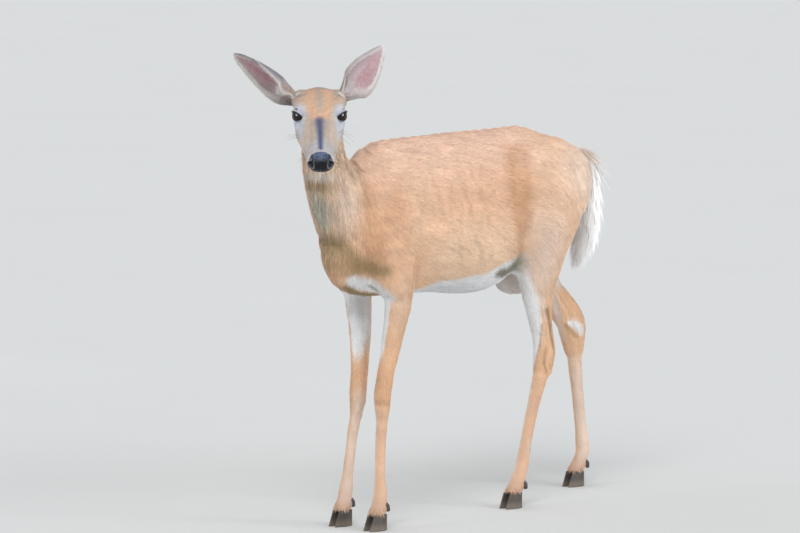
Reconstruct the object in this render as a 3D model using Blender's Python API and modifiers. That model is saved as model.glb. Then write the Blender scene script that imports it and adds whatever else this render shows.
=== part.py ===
"""White-tailed deer: a life-size doe standing with her head turned to her left.

Units are metres and +Z is up.  Her body faces -Y and her left side is at +X.  The finished model stands on Z = 0 with
its origin on the floor under the middle of the whole animal; the rings below are given in axes that lie along her
spine, with the floor at FLOOR.

Every form of the body is a sweep: a few named rings, each with a centre and its reach to the side, to the front (or
top) and to the back (or bottom), joined by a smooth curve.  The forms are fused into one skin by a voxel remesh, and
the skin is parted by thin cuts into the head, jaw, nose, neck, trunk and legs.  Ears, eyes, tail, hooves and dewclaws
are their own solids.
"""

import math
from dataclasses import dataclass

import bmesh
import bpy
import numpy as np
from mathutils import Matrix, Vector

# ---------------------------------------------------------------------------------------------------------------
# Driving dimensions
# ---------------------------------------------------------------------------------------------------------------
FLOOR = -0.025  # height of the floor in the axes of the rings
HEAD_TURN = math.radians(47.0)  # to her left, from straight ahead
HEAD_PITCH = math.radians(27.0)  # nose below the poll
HEAD_ORIGIN = Vector((0.0032, -0.5048, 0.943))  # middle of the skull between the ears

VOXEL = 0.0042
RING_POINTS = 28
CUT_GAP = 0.0006  # width of the cuts that part the skin
FIT_GAP = 0.0004  # clearance round a piece that is let into the skin

HEAD_TRIANGLES = 1300
BODY_TRIANGLES = 2900

SIDES = {"left": 1.0, "right": -1.0}
TOES = {"outer": 1.0, "inner": -1.0}

COAT = {"color": (0.56, 0.33, 0.17, 1.0), "roughness": 0.85}
PALE_COAT = {"color": (0.80, 0.77, 0.72, 1.0), "roughness": 0.85}
EAR_SKIN = {"color": (0.62, 0.44, 0.37, 1.0), "roughness": 0.7}
NOSE_SKIN = {"color": (0.02, 0.02, 0.025, 1.0), "roughness": 0.35}
EYE_GLOSS = {"color": (0.015, 0.01, 0.008, 1.0), "roughness": 0.05}
HORN = {"color": (0.035, 0.03, 0.028, 1.0), "roughness": 0.45}


@dataclass(frozen=True)
class Ring:
    """One cross-section: centre, then reach to the side, to the front or top, and to the back or bottom."""

    centre: tuple
    side: float
    front: float
    back: float


@dataclass(frozen=True)
class LimbRing:
    """One level cross-section of a leg: height, centre from side to side and front to back, and half-sizes."""

    z: float
    x: float
    y: float
    side: float
    front: float
    back: float

    def ring(self, s=1.0):
        return Ring((s * self.x, self.y, self.z), self.side, self.front, self.back)


@dataclass(frozen=True)
class EarPose:
    """Root, tip direction and the way the cup opens, in the head's axes; bow is the sideways bend of the blade."""

    root: tuple
    tip: tuple
    opening: tuple
    length: float
    bow: float


FORE_HOOVES = {"left": (0.055, -0.378), "right": (-0.050, -0.388)}
HIND_HOOVES = {"left": (0.054, 0.078), "right": (-0.068, 0.429)}
FORE_INSET = {"left": 0.0, "right": 0.010}  # how far the leg bows in towards the other about its knee
HOOF_TOP = 0.012
TOE_LENGTH = 0.056
TOE_WIDTH = 0.0225
CANNON_EXTRA = 0.038  # how much longer the shin bones stand than the rings are drawn
CANNON_SPAN = (0.074, 0.188)  # heights between which the extra length is drawn out
TOE_SPLIT = 0.0016  # gap between the two toes of a foot

EYE_RADIUS = 0.0165
EYE_CENTRE = (0.0445, 0.0930, 0.0115)  # to the side, towards the nose, up

EAR_HALF_WIDTH = 0.0385
EAR_WALL = 0.0034
EAR_POSES = {
    "left": EarPose((-0.044, 0.011, 0.003), (-0.100, -0.122, 0.062), (-0.26, 0.88, 0.47), 0.176, 0.009),
    "right": EarPose((0.042, 0.011, 0.003), (0.145, -0.060, 0.080), (0.36, 0.91, -0.12), 0.184, -0.006),
}


# ---------------------------------------------------------------------------------------------------------------
# Scene and mesh helpers
# ---------------------------------------------------------------------------------------------------------------
def clear_scene():
    for obj in list(bpy.data.objects):
        bpy.data.objects.remove(obj)


def make_collection(name):
    made = bpy.data.collections.new(name)
    bpy.context.scene.collection.children.link(made)
    return made


def make_material(name, look):
    material = bpy.data.materials.new(name)
    material.use_nodes = True
    shader = material.node_tree.nodes["Principled BSDF"]
    shader.inputs["Base Color"].default_value = look["color"]
    shader.inputs["Roughness"].default_value = look["roughness"]
    shader.inputs["Metallic"].default_value = 0.0
    return material


def link_mesh(name, mesh, collection):
    obj = bpy.data.objects.new(name, mesh)
    collection.objects.link(obj)
    return obj


def mesh_of(name, points, faces):
    mesh = bpy.data.meshes.new(name)
    mesh.from_pydata([tuple(p) for p in points], [], faces)
    return mesh


def evaluated_mesh(obj):
    bpy.context.view_layer.update()
    graph = bpy.context.evaluated_depsgraph_get()
    return bpy.data.meshes.new_from_object(obj.evaluated_get(graph), depsgraph=graph)


def apply_modifiers(obj):
    mesh = evaluated_mesh(obj)
    obj.modifiers.clear()
    obj.data = mesh
    return obj


def copy_object(obj, name, collection):
    return link_mesh(name, obj.data.copy(), collection)


def boolean(obj, cutter, operation):
    modifier = obj.modifiers.new(operation.title(), "BOOLEAN")
    modifier.operation = operation
    modifier.object = cutter
    modifier.solver = "EXACT"
    return apply_modifiers(obj)


def smoothstep(low, high, value):
    t = np.clip((value - low) / (high - low), 0.0, 1.0)
    return t * t * (3.0 - 2.0 * t)


# ---------------------------------------------------------------------------------------------------------------
# Sweeps
# ---------------------------------------------------------------------------------------------------------------
def catmull_rom(values, steps):
    """Rows of values joined by a smooth curve, with this many steps between two rows."""
    before = 2 * values[:1] - values[1:2]
    after = 2 * values[-1:] - values[-2:-1]
    v = np.concatenate([before, values, after])
    rows = []
    for i in range(1, len(v) - 2):
        for t in np.arange(steps) / steps:
            a = 2 * v[i]
            b = v[i + 1] - v[i - 1]
            c = 2 * v[i - 1] - 5 * v[i] + 4 * v[i + 1] - v[i + 2]
            d = -v[i - 1] + 3 * v[i] - 3 * v[i + 1] + v[i + 2]
            rows.append(0.5 * (a + b * t + c * t * t + d * t**3))
    rows.append(v[-2])
    return np.array(rows)


def sweep(name, rings, front, square_to=None, steps=5, pinch=1.0):
    """A closed form through rings.

    front is the way Ring.front points.  The rings lie square to square_to, or to the path where it is left out.  A
    pinch over 1 draws the section in to a ridge at its front, as at the spine.
    """
    rows = np.array([[*r.centre, r.side, r.front, r.back] for r in rings])
    rows = catmull_rom(rows, steps)
    centres = rows[:, :3]
    reach = np.maximum(rows[:, 3:], 0.002)
    tangents = np.gradient(centres, axis=0)
    if square_to is not None:
        tangents = np.tile(np.array(square_to, float), (len(rows), 1))
    tangents /= np.linalg.norm(tangents, axis=1)[:, None]
    sides = np.cross(tangents, np.array(front, float))
    sides /= np.linalg.norm(sides, axis=1)[:, None]
    fronts = np.cross(sides, tangents)
    angle = np.arange(RING_POINTS) * math.tau / RING_POINTS
    across, along = np.cos(angle), np.sin(angle)
    ridge = np.maximum(1 - along**2, 1e-6) ** ((pinch - 1) / 2)
    across = across * np.where(along > 0, ridge, 1.0)
    forward = np.where(along > 0, reach[:, 1:2] * along, reach[:, 2:3] * along)
    sideways = reach[:, 0:1] * across
    points = centres[:, None] + sides[:, None] * sideways[..., None] + fronts[:, None] * forward[..., None]
    mesh = mesh_of(name, points.reshape(-1, 3), tube_faces(len(rows), RING_POINTS))
    face_outwards(mesh)
    return mesh


def tube_faces(rows, columns):
    """Quads between rows of points that close round, and a cap on the first and last row."""
    faces = []
    for i in range(rows - 1):
        for j in range(columns):
            k = (j + 1) % columns
            faces.append((i * columns + j, i * columns + k, (i + 1) * columns + k, (i + 1) * columns + j))
    faces.append(tuple(range(columns - 1, -1, -1)))
    faces.append(tuple((rows - 1) * columns + j for j in range(columns)))
    return faces


def face_outwards(mesh):
    shape = bmesh.new()
    shape.from_mesh(mesh)
    bmesh.ops.recalc_face_normals(shape, faces=shape.faces)
    shape.to_mesh(mesh)
    shape.free()


def ellipsoid(name, centre, radii, segments=24, matrix=None):
    shape = bmesh.new()
    bmesh.ops.create_uvsphere(shape, u_segments=segments, v_segments=segments * 2 // 3, radius=1.0)
    placed = Matrix.Translation(centre) @ Matrix.Diagonal((*radii, 1.0))
    bmesh.ops.transform(shape, matrix=(matrix or Matrix.Identity(4)) @ placed, verts=shape.verts)
    mesh = bpy.data.meshes.new(name)
    shape.to_mesh(mesh)
    shape.free()
    return mesh


def box_mesh(name, low, high, matrix=None):
    """A box from low to high in the axes of matrix."""
    shape = bmesh.new()
    bmesh.ops.create_cube(shape, size=1.0)
    low, high = Vector(low), Vector(high)
    placed = Matrix.Translation((low + high) / 2) @ Matrix.Diagonal((*(high - low), 1.0))
    bmesh.ops.transform(shape, matrix=(matrix or Matrix.Identity(4)) @ placed, verts=shape.verts)
    mesh = bpy.data.meshes.new(name)
    shape.to_mesh(mesh)
    shape.free()
    return mesh


def fused_mesh(name, meshes):
    """The meshes as one, each still closed on its own."""
    shape = bmesh.new()
    for mesh in meshes:
        shape.from_mesh(mesh)
    joined = bpy.data.meshes.new(name)
    shape.to_mesh(joined)
    shape.free()
    return joined


def keep_largest(mesh):
    """Drops the small loose pieces that a cut or a remesh leaves."""
    shape = bmesh.new()
    shape.from_mesh(mesh)
    unseen, islands = set(shape.verts), []
    while unseen:
        todo = [unseen.pop()]
        island = set(todo)
        while todo:
            for edge in todo.pop().link_edges:
                for vert in edge.verts:
                    if vert in unseen:
                        unseen.discard(vert)
                        island.add(vert)
                        todo.append(vert)
        islands.append(island)
    islands.sort(key=len)
    loose = [vert for island in islands[:-1] for vert in island]
    bmesh.ops.delete(shape, geom=loose, context="VERTS")
    shape.to_mesh(mesh)
    shape.free()


# ---------------------------------------------------------------------------------------------------------------
# Cuts
# ---------------------------------------------------------------------------------------------------------------
def behind_plane(mesh, point, normal):
    """The part of a closed mesh that lies behind a plane, closed again."""
    shape = bmesh.new()
    shape.from_mesh(mesh)
    everything = [*shape.verts, *shape.edges, *shape.faces]
    cut = bmesh.ops.bisect_plane(
        shape, geom=everything, plane_co=point, plane_no=normal, clear_outer=True, dist=1e-6
    )
    edges = [e for e in cut["geom_cut"] if isinstance(e, bmesh.types.BMEdge)]
    bmesh.ops.edgeloop_fill(shape, edges=edges)
    bmesh.ops.triangulate(shape, faces=shape.faces)
    out = bpy.data.meshes.new(mesh.name)
    shape.to_mesh(out)
    shape.free()
    return out


def part_by_plane(mesh, point, normal):
    """(behind, in front of) a plane, with the cut's gap between them."""
    normal = Vector(normal).normalized()
    point = Vector(point)
    behind = behind_plane(mesh, point - normal * CUT_GAP / 2, normal)
    ahead = behind_plane(mesh, point + normal * CUT_GAP / 2, -normal)
    return behind, ahead


def boolean_mesh(mesh, cutter, operation, helpers):
    """The mesh after a Boolean with the cutter, which stays among the helpers."""
    obj = link_mesh("worked", mesh, helpers)
    modifier = obj.modifiers.new(operation.title(), "BOOLEAN")
    modifier.operation = operation
    modifier.object = helper(cutter, helpers)
    modifier.solver = "EXACT"
    made = evaluated_mesh(obj)
    bpy.data.objects.remove(obj)
    return made


def helper(mesh, helpers):
    obj = link_mesh("cutter_" + mesh.name, mesh, helpers)
    obj.hide_render = True
    obj.display_type = "WIRE"
    return obj


def part_by_box(mesh, low, high, matrix, helpers):
    """(inside, outside) a box, with the cut's gap between them."""
    low, high = Vector(low), Vector(high)
    gap = Vector((CUT_GAP,) * 3)
    inside = boolean_mesh(mesh, box_mesh("inside", low, high, matrix), "INTERSECT", helpers)
    outside = boolean_mesh(mesh, box_mesh("outside", low - gap, high + gap, matrix), "DIFFERENCE", helpers)
    return inside, outside


def decimated(mesh, triangles, helpers):
    obj = link_mesh("decimating", mesh, helpers)
    count = sum(len(p.vertices) - 2 for p in mesh.polygons)
    modifier = obj.modifiers.new("Decimate", "DECIMATE")
    modifier.ratio = min(1.0, triangles / count)
    made = evaluated_mesh(obj)
    bpy.data.objects.remove(obj)
    return made


def swollen(mesh, amount, helpers):
    """A copy of a mesh, moved outwards all over, to cut its neighbours with."""
    obj = link_mesh("swelling", mesh.copy(), helpers)
    modifier = obj.modifiers.new("Swell", "DISPLACE")
    modifier.strength = amount
    modifier.mid_level = 0.0
    made = evaluated_mesh(obj)
    bpy.data.objects.remove(obj)
    return made


# ---------------------------------------------------------------------------------------------------------------
# The body's forms
# ---------------------------------------------------------------------------------------------------------------
def trunk_forms():
    """The barrel from the breastbone to the rump, with a ridge along the spine."""
    barrel = [
        Ring((0, -0.462, 0.570), 0.016, 0.030, 0.030),
        Ring((0, -0.444, 0.590), 0.046, 0.110, 0.082),
        Ring((0, -0.405, 0.600), 0.074, 0.194, 0.116),
        Ring((0, -0.345, 0.610), 0.090, 0.220, 0.136),
        Ring((0, -0.260, 0.620), 0.100, 0.218, 0.148),
        Ring((0, -0.150, 0.612), 0.113, 0.228, 0.144),
        Ring((0, -0.050, 0.605), 0.124, 0.239, 0.149),
        Ring((0, 0.030, 0.610), 0.122, 0.237, 0.148),
        Ring((0, 0.090, 0.640), 0.108, 0.208, 0.150),
        Ring((0, 0.160, 0.675), 0.098, 0.173, 0.160),
        Ring((0, 0.230, 0.700), 0.092, 0.128, 0.150),
        Ring((0, 0.310, 0.705), 0.080, 0.102, 0.115),
        Ring((0, 0.362, 0.705), 0.054, 0.078, 0.066),
        Ring((0, 0.386, 0.705), 0.018, 0.040, 0.034),
    ]
    forms = [sweep("barrel", barrel, (0, 0, 1), square_to=(0, 1, 0), pinch=1.5)]
    forms.append(ellipsoid("udder", (0, 0.145, 0.484), (0.043, 0.062, 0.046)))
    for s in SIDES.values():
        forms.append(ellipsoid("hip_bone", (s * 0.051, 0.120, 0.780), (0.029, 0.078, 0.033)))
        forms.append(ellipsoid("seat_bone", (s * 0.034, 0.352, 0.722), (0.026, 0.026, 0.032)))
    return forms


def neck_forms():
    """The upright neck, from between the shoulders to the poll."""
    rings = [
        Ring((0.000, -0.345, 0.560), 0.060, 0.085, 0.090),
        Ring((0.000, -0.385, 0.627), 0.073, 0.088, 0.110),
        Ring((0.000, -0.408, 0.664), 0.068, 0.088, 0.125),
        Ring((0.000, -0.440, 0.714), 0.057, 0.080, 0.125),
        Ring((0.000, -0.470, 0.765), 0.048, 0.066, 0.095),
        Ring((0.001, -0.489, 0.812), 0.044, 0.053, 0.055),
        Ring((0.003, -0.493, 0.860), 0.042, 0.053, 0.052),
        Ring((0.006, -0.496, 0.900), 0.042, 0.052, 0.048),
        Ring((0.010, -0.500, 0.936), 0.034, 0.040, 0.038),
    ]
    return [sweep("neck", rings, (0, -1, 0), square_to=(0, 0, 1))]


def shoulder_forms(s):
    """Shoulder blade and upper arm on one side; s is the sign of that side."""
    rings = [
        LimbRing(0.818, 0.020, -0.235, 0.012, 0.040, 0.030),
        LimbRing(0.770, 0.044, -0.262, 0.028, 0.070, 0.056),
        LimbRing(0.700, 0.064, -0.300, 0.036, 0.080, 0.070),
        LimbRing(0.630, 0.072, -0.335, 0.039, 0.092, 0.076),
        LimbRing(0.575, 0.074, -0.338, 0.038, 0.078, 0.070),
        LimbRing(0.530, 0.072, -0.330, 0.034, 0.060, 0.056),
        LimbRing(0.480, 0.068, -0.318, 0.030, 0.046, 0.046),
    ]
    return [sweep("shoulder", [r.ring(s) for r in rings], (0, -1, 0), square_to=(0, 0, 1))]


def foreleg_forms(s, hoof, inset):
    """One foreleg from the elbow to the hoof's top; hoof is the middle of its print on the floor."""
    x, y = abs(hoof[0]), hoof[1]
    rings = [
        LimbRing(0.520, 0.070, -0.312, 0.030, 0.046, 0.048),
        LimbRing(0.450, 0.062 - 0.4 * inset, y + 0.069, 0.0265, 0.038, 0.038),
        LimbRing(0.400, 0.055 - 0.8 * inset, y + 0.063, 0.0230, 0.031, 0.032),
        LimbRing(0.350, 0.050 - 1.0 * inset, y + 0.056, 0.0205, 0.026, 0.027),
        LimbRing(0.300, x - 0.009 - 1.0 * inset, y + 0.045, 0.0195, 0.022, 0.023),
        LimbRing(0.255, x - 0.012 - 1.0 * inset, y + 0.038, 0.0215, 0.0205, 0.0205),
        LimbRing(0.225, x - 0.012 - 1.0 * inset, y + 0.036, 0.0200, 0.0190, 0.0200),
        LimbRing(0.190, x - 0.010 - 0.8 * inset, y + 0.033, 0.0145, 0.0150, 0.0160),
        LimbRing(0.130, x - 0.006 - 0.5 * inset, y + 0.023, 0.0125, 0.0135, 0.0145),
        LimbRing(0.090, x - 0.003 - 0.2 * inset, y + 0.019, 0.0135, 0.0140, 0.0155),
        LimbRing(0.060, x - 0.001, y + 0.018, 0.0175, 0.0160, 0.0190),
        LimbRing(0.035, x, y + 0.011, 0.0175, 0.0155, 0.0180),
        LimbRing(0.012, x, y + 0.004, 0.0215, 0.0200, 0.0215),
        LimbRing(-0.004, x, y + 0.001, 0.0190, 0.0200, 0.0200),
    ]
    return [sweep("foreleg", [r.ring(s) for r in rings], (0, -1, 0), square_to=(0, 0, 1))]


def left_haunch():
    """Level rings of the near-vertical left haunch, lower thigh and hock."""
    return [
        LimbRing(0.815, 0.030, 0.200, 0.022, 0.060, 0.070),
        LimbRing(0.775, 0.050, 0.215, 0.040, 0.105, 0.115),
        LimbRing(0.710, 0.062, 0.215, 0.050, 0.128, 0.126),
        LimbRing(0.655, 0.068, 0.200, 0.052, 0.132, 0.120),
        LimbRing(0.600, 0.072, 0.180, 0.050, 0.122, 0.102),
        LimbRing(0.550, 0.075, 0.160, 0.045, 0.106, 0.084),
        LimbRing(0.500, 0.077, 0.148, 0.039, 0.072, 0.070),
        LimbRing(0.450, 0.076, 0.147, 0.031, 0.050, 0.050),
        LimbRing(0.400, 0.074, 0.154, 0.025, 0.037, 0.038),
        LimbRing(0.350, 0.071, 0.167, 0.0200, 0.030, 0.033),
        LimbRing(0.315, 0.069, 0.176, 0.0200, 0.031, 0.036),
        LimbRing(0.285, 0.067, 0.176, 0.0205, 0.029, 0.032),
        LimbRing(0.250, 0.064, 0.171, 0.0185, 0.0215, 0.0220),
    ]


def right_haunch():
    """Level rings of the right haunch, whose lower thigh slants back to the trailing hock."""
    return [
        LimbRing(0.815, 0.030, 0.200, 0.022, 0.060, 0.070),
        LimbRing(0.775, 0.050, 0.215, 0.040, 0.105, 0.115),
        LimbRing(0.710, 0.062, 0.218, 0.050, 0.130, 0.126),
        LimbRing(0.655, 0.068, 0.222, 0.052, 0.130, 0.122),
        LimbRing(0.600, 0.073, 0.238, 0.050, 0.120, 0.120),
        LimbRing(0.550, 0.078, 0.256, 0.045, 0.104, 0.104),
        LimbRing(0.500, 0.081, 0.284, 0.039, 0.086, 0.082),
        LimbRing(0.455, 0.082, 0.318, 0.032, 0.074, 0.066),
        LimbRing(0.415, 0.081, 0.360, 0.027, 0.070, 0.066),
        LimbRing(0.375, 0.080, 0.404, 0.0225, 0.058, 0.060),
        LimbRing(0.335, 0.079, 0.430, 0.0205, 0.046, 0.052),
        LimbRing(0.300, 0.078, 0.436, 0.0205, 0.038, 0.041),
        LimbRing(0.265, 0.077, 0.440, 0.0190, 0.026, 0.029),
    ]


def hind_cannon(hoof, hock_x, hock_y, hock_z):
    """Level rings from the hock to the hoof's top."""
    x, y = abs(hoof[0]), hoof[1]
    hock = np.array((hock_x, hock_y))
    fetlock = np.array((x, y + 0.034))
    low, mid = hock * 0.22 + fetlock * 0.78, hock * 0.55 + fetlock * 0.45
    return [
        LimbRing(hock_z, *hock, 0.0200, 0.0260, 0.0280),
        LimbRing(hock_z - 0.035, *(hock * 0.86 + fetlock * 0.14), 0.0175, 0.0205, 0.0230),
        LimbRing(0.178, *mid, 0.0145, 0.0165, 0.0185),
        LimbRing(0.115, *low, 0.0140, 0.0155, 0.0180),
        LimbRing(0.062, *fetlock, 0.0180, 0.0165, 0.0200),
        LimbRing(0.035, x, y + 0.020, 0.0175, 0.0160, 0.0185),
        LimbRing(0.012, x, y + 0.006, 0.0215, 0.0205, 0.0215),
        LimbRing(-0.004, x, y + 0.002, 0.0190, 0.0200, 0.0200),
    ]


def hind_leg_forms(side):
    """Haunch, lower thigh, hock, heel and cannon of one hind leg."""
    s = SIDES[side]
    haunch = left_haunch() if side == "left" else right_haunch()
    hock = haunch[-2]
    cannon = hind_cannon(HIND_HOOVES[side], hock.x, hock.y + 0.001, hock.z - 0.004)
    tip_y, tip_z = (0.212, 0.305) if side == "left" else (0.474, 0.325)
    top = haunch[-5] if side == "left" else haunch[-4]
    heel = [
        Ring((s * hock.x, hock.y + 0.010, hock.z - 0.030), 0.0140, 0.016, 0.018),
        Ring((s * hock.x, tip_y - 0.014, tip_z - 0.026), 0.0130, 0.014, 0.013),
        Ring((s * hock.x, tip_y - 0.004, tip_z), 0.0105, 0.011, 0.010),
    ]
    tendon = [
        Ring((s * top.x, top.y + top.back * 0.62, top.z), 0.0120, 0.014, 0.013),
        Ring((s * hock.x, tip_y - 0.004, tip_z), 0.0095, 0.010, 0.009),
    ]
    return [
        sweep("haunch", [r.ring(s) for r in haunch], (0, -1, 0), square_to=(0, 0, 1)),
        sweep("cannon", [r.ring(s) for r in cannon], (0, -1, 0), square_to=(0, 0, 1)),
        sweep("heel", heel, (0, -1, 0)),
        sweep("tendon", tendon, (0, -1, 0)),
    ]


# ---------------------------------------------------------------------------------------------------------------
# The head, in its own axes: X to her right, Y from the poll to the nose, Z out of the forehead
# ---------------------------------------------------------------------------------------------------------------
def head_matrix():
    forward = Vector((math.sin(HEAD_TURN), -math.cos(HEAD_TURN), 0)) * math.cos(HEAD_PITCH)
    forward.z = -math.sin(HEAD_PITCH)
    right = Vector((-math.cos(HEAD_TURN), -math.sin(HEAD_TURN), 0))
    up = right.cross(forward)
    turn = Matrix((right, forward, up)).transposed().to_4x4()
    return Matrix.Translation(HEAD_ORIGIN) @ turn


def head_forms(to_world):
    """Skull, brows, cheeks, lower jaw, nostrils and the roots of the ears."""
    skull = [
        Ring((0, -0.036, -0.004), 0.020, 0.012, 0.022),
        Ring((0, -0.012, -0.002), 0.037, 0.026, 0.040),
        Ring((0, 0.030, 0.000), 0.046, 0.034, 0.050),
        Ring((0, 0.070, 0.000), 0.050, 0.0365, 0.052),
        Ring((0, 0.105, 0.000), 0.0445, 0.034, 0.048),
        Ring((0, 0.140, -0.004), 0.0370, 0.030, 0.042),
        Ring((0, 0.180, -0.008), 0.0330, 0.026, 0.034),
        Ring((0, 0.220, -0.010), 0.0340, 0.0235, 0.030),
        Ring((0, 0.250, -0.011), 0.0365, 0.0225, 0.027),
        Ring((0, 0.268, -0.013), 0.0345, 0.0195, 0.022),
        Ring((0, 0.281, -0.014), 0.0220, 0.0120, 0.013),
    ]
    jaw = [
        Ring((0, 0.012, -0.050), 0.030, 0.030, 0.022),
        Ring((0, 0.045, -0.050), 0.041, 0.036, 0.027),
        Ring((0, 0.085, -0.048), 0.045, 0.032, 0.027),
        Ring((0, 0.125, -0.045), 0.0460, 0.028, 0.024),
        Ring((0, 0.165, -0.042), 0.0400, 0.024, 0.0200),
        Ring((0, 0.205, -0.040), 0.0320, 0.018, 0.0175),
        Ring((0, 0.238, -0.040), 0.0260, 0.014, 0.0155),
        Ring((0, 0.257, -0.038), 0.0150, 0.008, 0.0105),
    ]
    forms = [
        sweep("skull", skull, (0, 0, 1), square_to=(0, 1, 0)),
        sweep("jaw", jaw, (0, 0, 1), square_to=(0, 1, 0)),
    ]
    for s in SIDES.values():
        forms.append(ellipsoid("brow", (s * 0.0400, 0.082, 0.0220), (0.0160, 0.036, 0.0135)))
        forms.append(ellipsoid("cheekbone", (s * 0.043, 0.090, -0.0100), (0.0165, 0.038, 0.0135)))
        forms.append(ellipsoid("cheek", (s * 0.031, 0.082, -0.036), (0.0250, 0.060, 0.034)))
        forms.append(ellipsoid("temple", (s * 0.0400, 0.052, 0.008), (0.0200, 0.042, 0.024)))
        forms.append(ellipsoid("ear_root", (s * 0.0445, 0.018, 0.005), (0.0210, 0.030, 0.0215)))
        forms.append(ellipsoid("nostril", (s * 0.0225, 0.262, -0.010), (0.0130, 0.018, 0.0135)))
    for mesh in forms:
        mesh.transform(to_world)
    return forms


def ear_surface(pose, name):
    """A cupped leaf: a rolled tube at the root that opens to a shallow blade and ends in a blunt point."""
    axis = Vector(pose.tip).normalized()
    opening = Vector(pose.opening)
    opening = (opening - axis * opening.dot(axis)).normalized()
    across = axis.cross(opening)
    rows, columns = 12, 7
    u = np.linspace(0.0, 1.0, rows)[:, None]
    v = np.linspace(-1.0, 1.0, columns)[None, :]
    leaf = np.sin(np.pi * u**0.86) ** 0.66
    half_width = EAR_HALF_WIDTH * (0.50 * (1 - u) ** 2 + leaf * (1.02 - 0.22 * u)) + 0.0012
    curl = np.radians(95.0) * (1 - smoothstep(0.0, 0.45, u)) + np.radians(62.0) * (1 - 0.45 * u)
    radius = half_width / curl
    angle = v * curl
    depth = radius * (1 - np.cos(angle)) - 0.012 * np.sin(np.pi * u)
    width = radius * np.sin(angle) + pose.bow * np.sin(np.pi * u)
    rise = pose.length * u + width * 0
    points = (
        np.array(pose.root)
        + rise[..., None] * np.array(axis)
        + width[..., None] * np.array(across)
        + depth[..., None] * np.array(opening)
    )
    quads = [
        (i * columns + j, i * columns + j + 1, (i + 1) * columns + j + 1, (i + 1) * columns + j)
        for i in range(rows - 1)
        for j in range(columns - 1)
    ]
    return mesh_of(name, points.reshape(-1, 3), quads)


def make_ear(side, to_world, head, helpers):
    """One ear, given its wall and cut free of the head."""
    mesh = ear_surface(EAR_POSES[side], "ear_" + side)
    mesh.transform(to_world)
    obj = link_mesh("ear_shell", mesh, helpers)
    wall = obj.modifiers.new("Wall", "SOLIDIFY")
    wall.thickness = EAR_WALL
    wall.offset = 0.0
    shell = evaluated_mesh(obj)
    bpy.data.objects.remove(obj)
    face_outwards(shell)
    ear = boolean_mesh(shell, swollen(head, FIT_GAP, helpers), "DIFFERENCE", helpers)
    keep_largest(ear)
    return ear


# ---------------------------------------------------------------------------------------------------------------
# Tail, hooves and dewclaws
# ---------------------------------------------------------------------------------------------------------------
def make_tail(trunk, helpers):
    """The hanging tail, out to the tips of its long hair."""
    rings = [
        Ring((0, 0.350, 0.765), 0.020, 0.020, 0.018),
        Ring((0, 0.376, 0.764), 0.030, 0.022, 0.016),
        Ring((0, 0.392, 0.735), 0.036, 0.018, 0.016),
        Ring((0, 0.396, 0.680), 0.040, 0.020, 0.015),
        Ring((0, 0.394, 0.620), 0.042, 0.022, 0.014),
        Ring((0, 0.388, 0.560), 0.038, 0.018, 0.013),
        Ring((0, 0.376, 0.510), 0.024, 0.012, 0.009),
        Ring((0, 0.366, 0.478), 0.006, 0.005, 0.004),
    ]
    tail = decimated(sweep("tail", rings, (0, -0.7, -0.7), steps=3), 380, helpers)
    tail = boolean_mesh(tail, swollen(trunk, FIT_GAP, helpers), "DIFFERENCE", helpers)
    keep_largest(tail)
    return tail


def make_toe(name, hoof, toe_side):
    """One half of a cloven hoof: a pointed print with a flat sole, drawn in towards the top."""
    columns, levels = 14, 3
    x, y = hoof
    angle = np.arange(columns) * math.tau / columns
    forward, sideways = np.cos(angle), np.sin(angle)
    points = []
    for t in np.linspace(0.0, 1.0, levels):
        length = TOE_LENGTH * (1 - 0.26 * t)
        width = TOE_WIDTH * (1 - 0.06 * t)
        taper = 1 - 0.45 * smoothstep(0.0, 1.0, forward)
        across = TOE_WIDTH / 2 * 0.9 + sideways * width / 2 * taper
        across = np.maximum(across, TOE_SPLIT / 2)
        along = y + 0.008 * t - forward * length / 2
        height = FLOOR + (HOOF_TOP - FLOOR) * t
        points += [(x + toe_side * a, b, height) for a, b in zip(across, along)]
    mesh = mesh_of(name, points, tube_faces(levels, columns))
    face_outwards(mesh)
    return mesh


def make_dewclaw(name, centre, toe_side, leg, helpers):
    """A small blunt claw behind the pastern, pointing down and back."""
    x, y = centre
    base = Vector((x + toe_side * 0.0105, y + 0.010, 0.036))
    rings = [
        Ring(base, 0.0075, 0.0085, 0.0085),
        Ring(base + Vector((toe_side * 0.001, 0.008, -0.008)), 0.0070, 0.0080, 0.0075),
        Ring(base + Vector((toe_side * 0.0015, 0.012, -0.018)), 0.0040, 0.0045, 0.0040),
    ]
    claw = decimated(sweep(name, rings, (0, -1, 0), steps=2), 40, helpers)
    claw = boolean_mesh(claw, swollen(leg, FIT_GAP, helpers), "DIFFERENCE", helpers)
    keep_largest(claw)
    return claw


# ---------------------------------------------------------------------------------------------------------------
# Assembly
# ---------------------------------------------------------------------------------------------------------------
def fused_skin(to_world, helpers):
    """All the forms of flesh as one smooth closed mesh."""
    forms = [*trunk_forms(), *neck_forms(), *head_forms(to_world)]
    for side, s in SIDES.items():
        forms += shoulder_forms(s)
        forms += foreleg_forms(s, FORE_HOOVES[side], FORE_INSET[side])
        forms += hind_leg_forms(side)
    skin = link_mesh("skin", fused_mesh("skin", forms), helpers)
    remesh = skin.modifiers.new("Remesh", "REMESH")
    remesh.mode = "VOXEL"
    remesh.voxel_size = VOXEL
    apply_modifiers(skin)
    keep_largest(skin.data)
    points = np.empty(len(skin.data.vertices) * 3, np.float32)
    skin.data.vertices.foreach_get("co", points)
    height = points.reshape(-1, 3)[:, 2]
    torso = smoothstep(0.36, 0.56, height) * (1 - smoothstep(0.80, 0.90, height))
    head = smoothstep(0.80, 0.86, height)
    add_smoothing(skin, "all", np.ones(len(height)), 3)
    add_smoothing(skin, "head", head, 5)
    add_smoothing(skin, "torso", torso, 110)
    made = evaluated_mesh(skin)
    bpy.data.objects.remove(skin)
    return made


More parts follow.
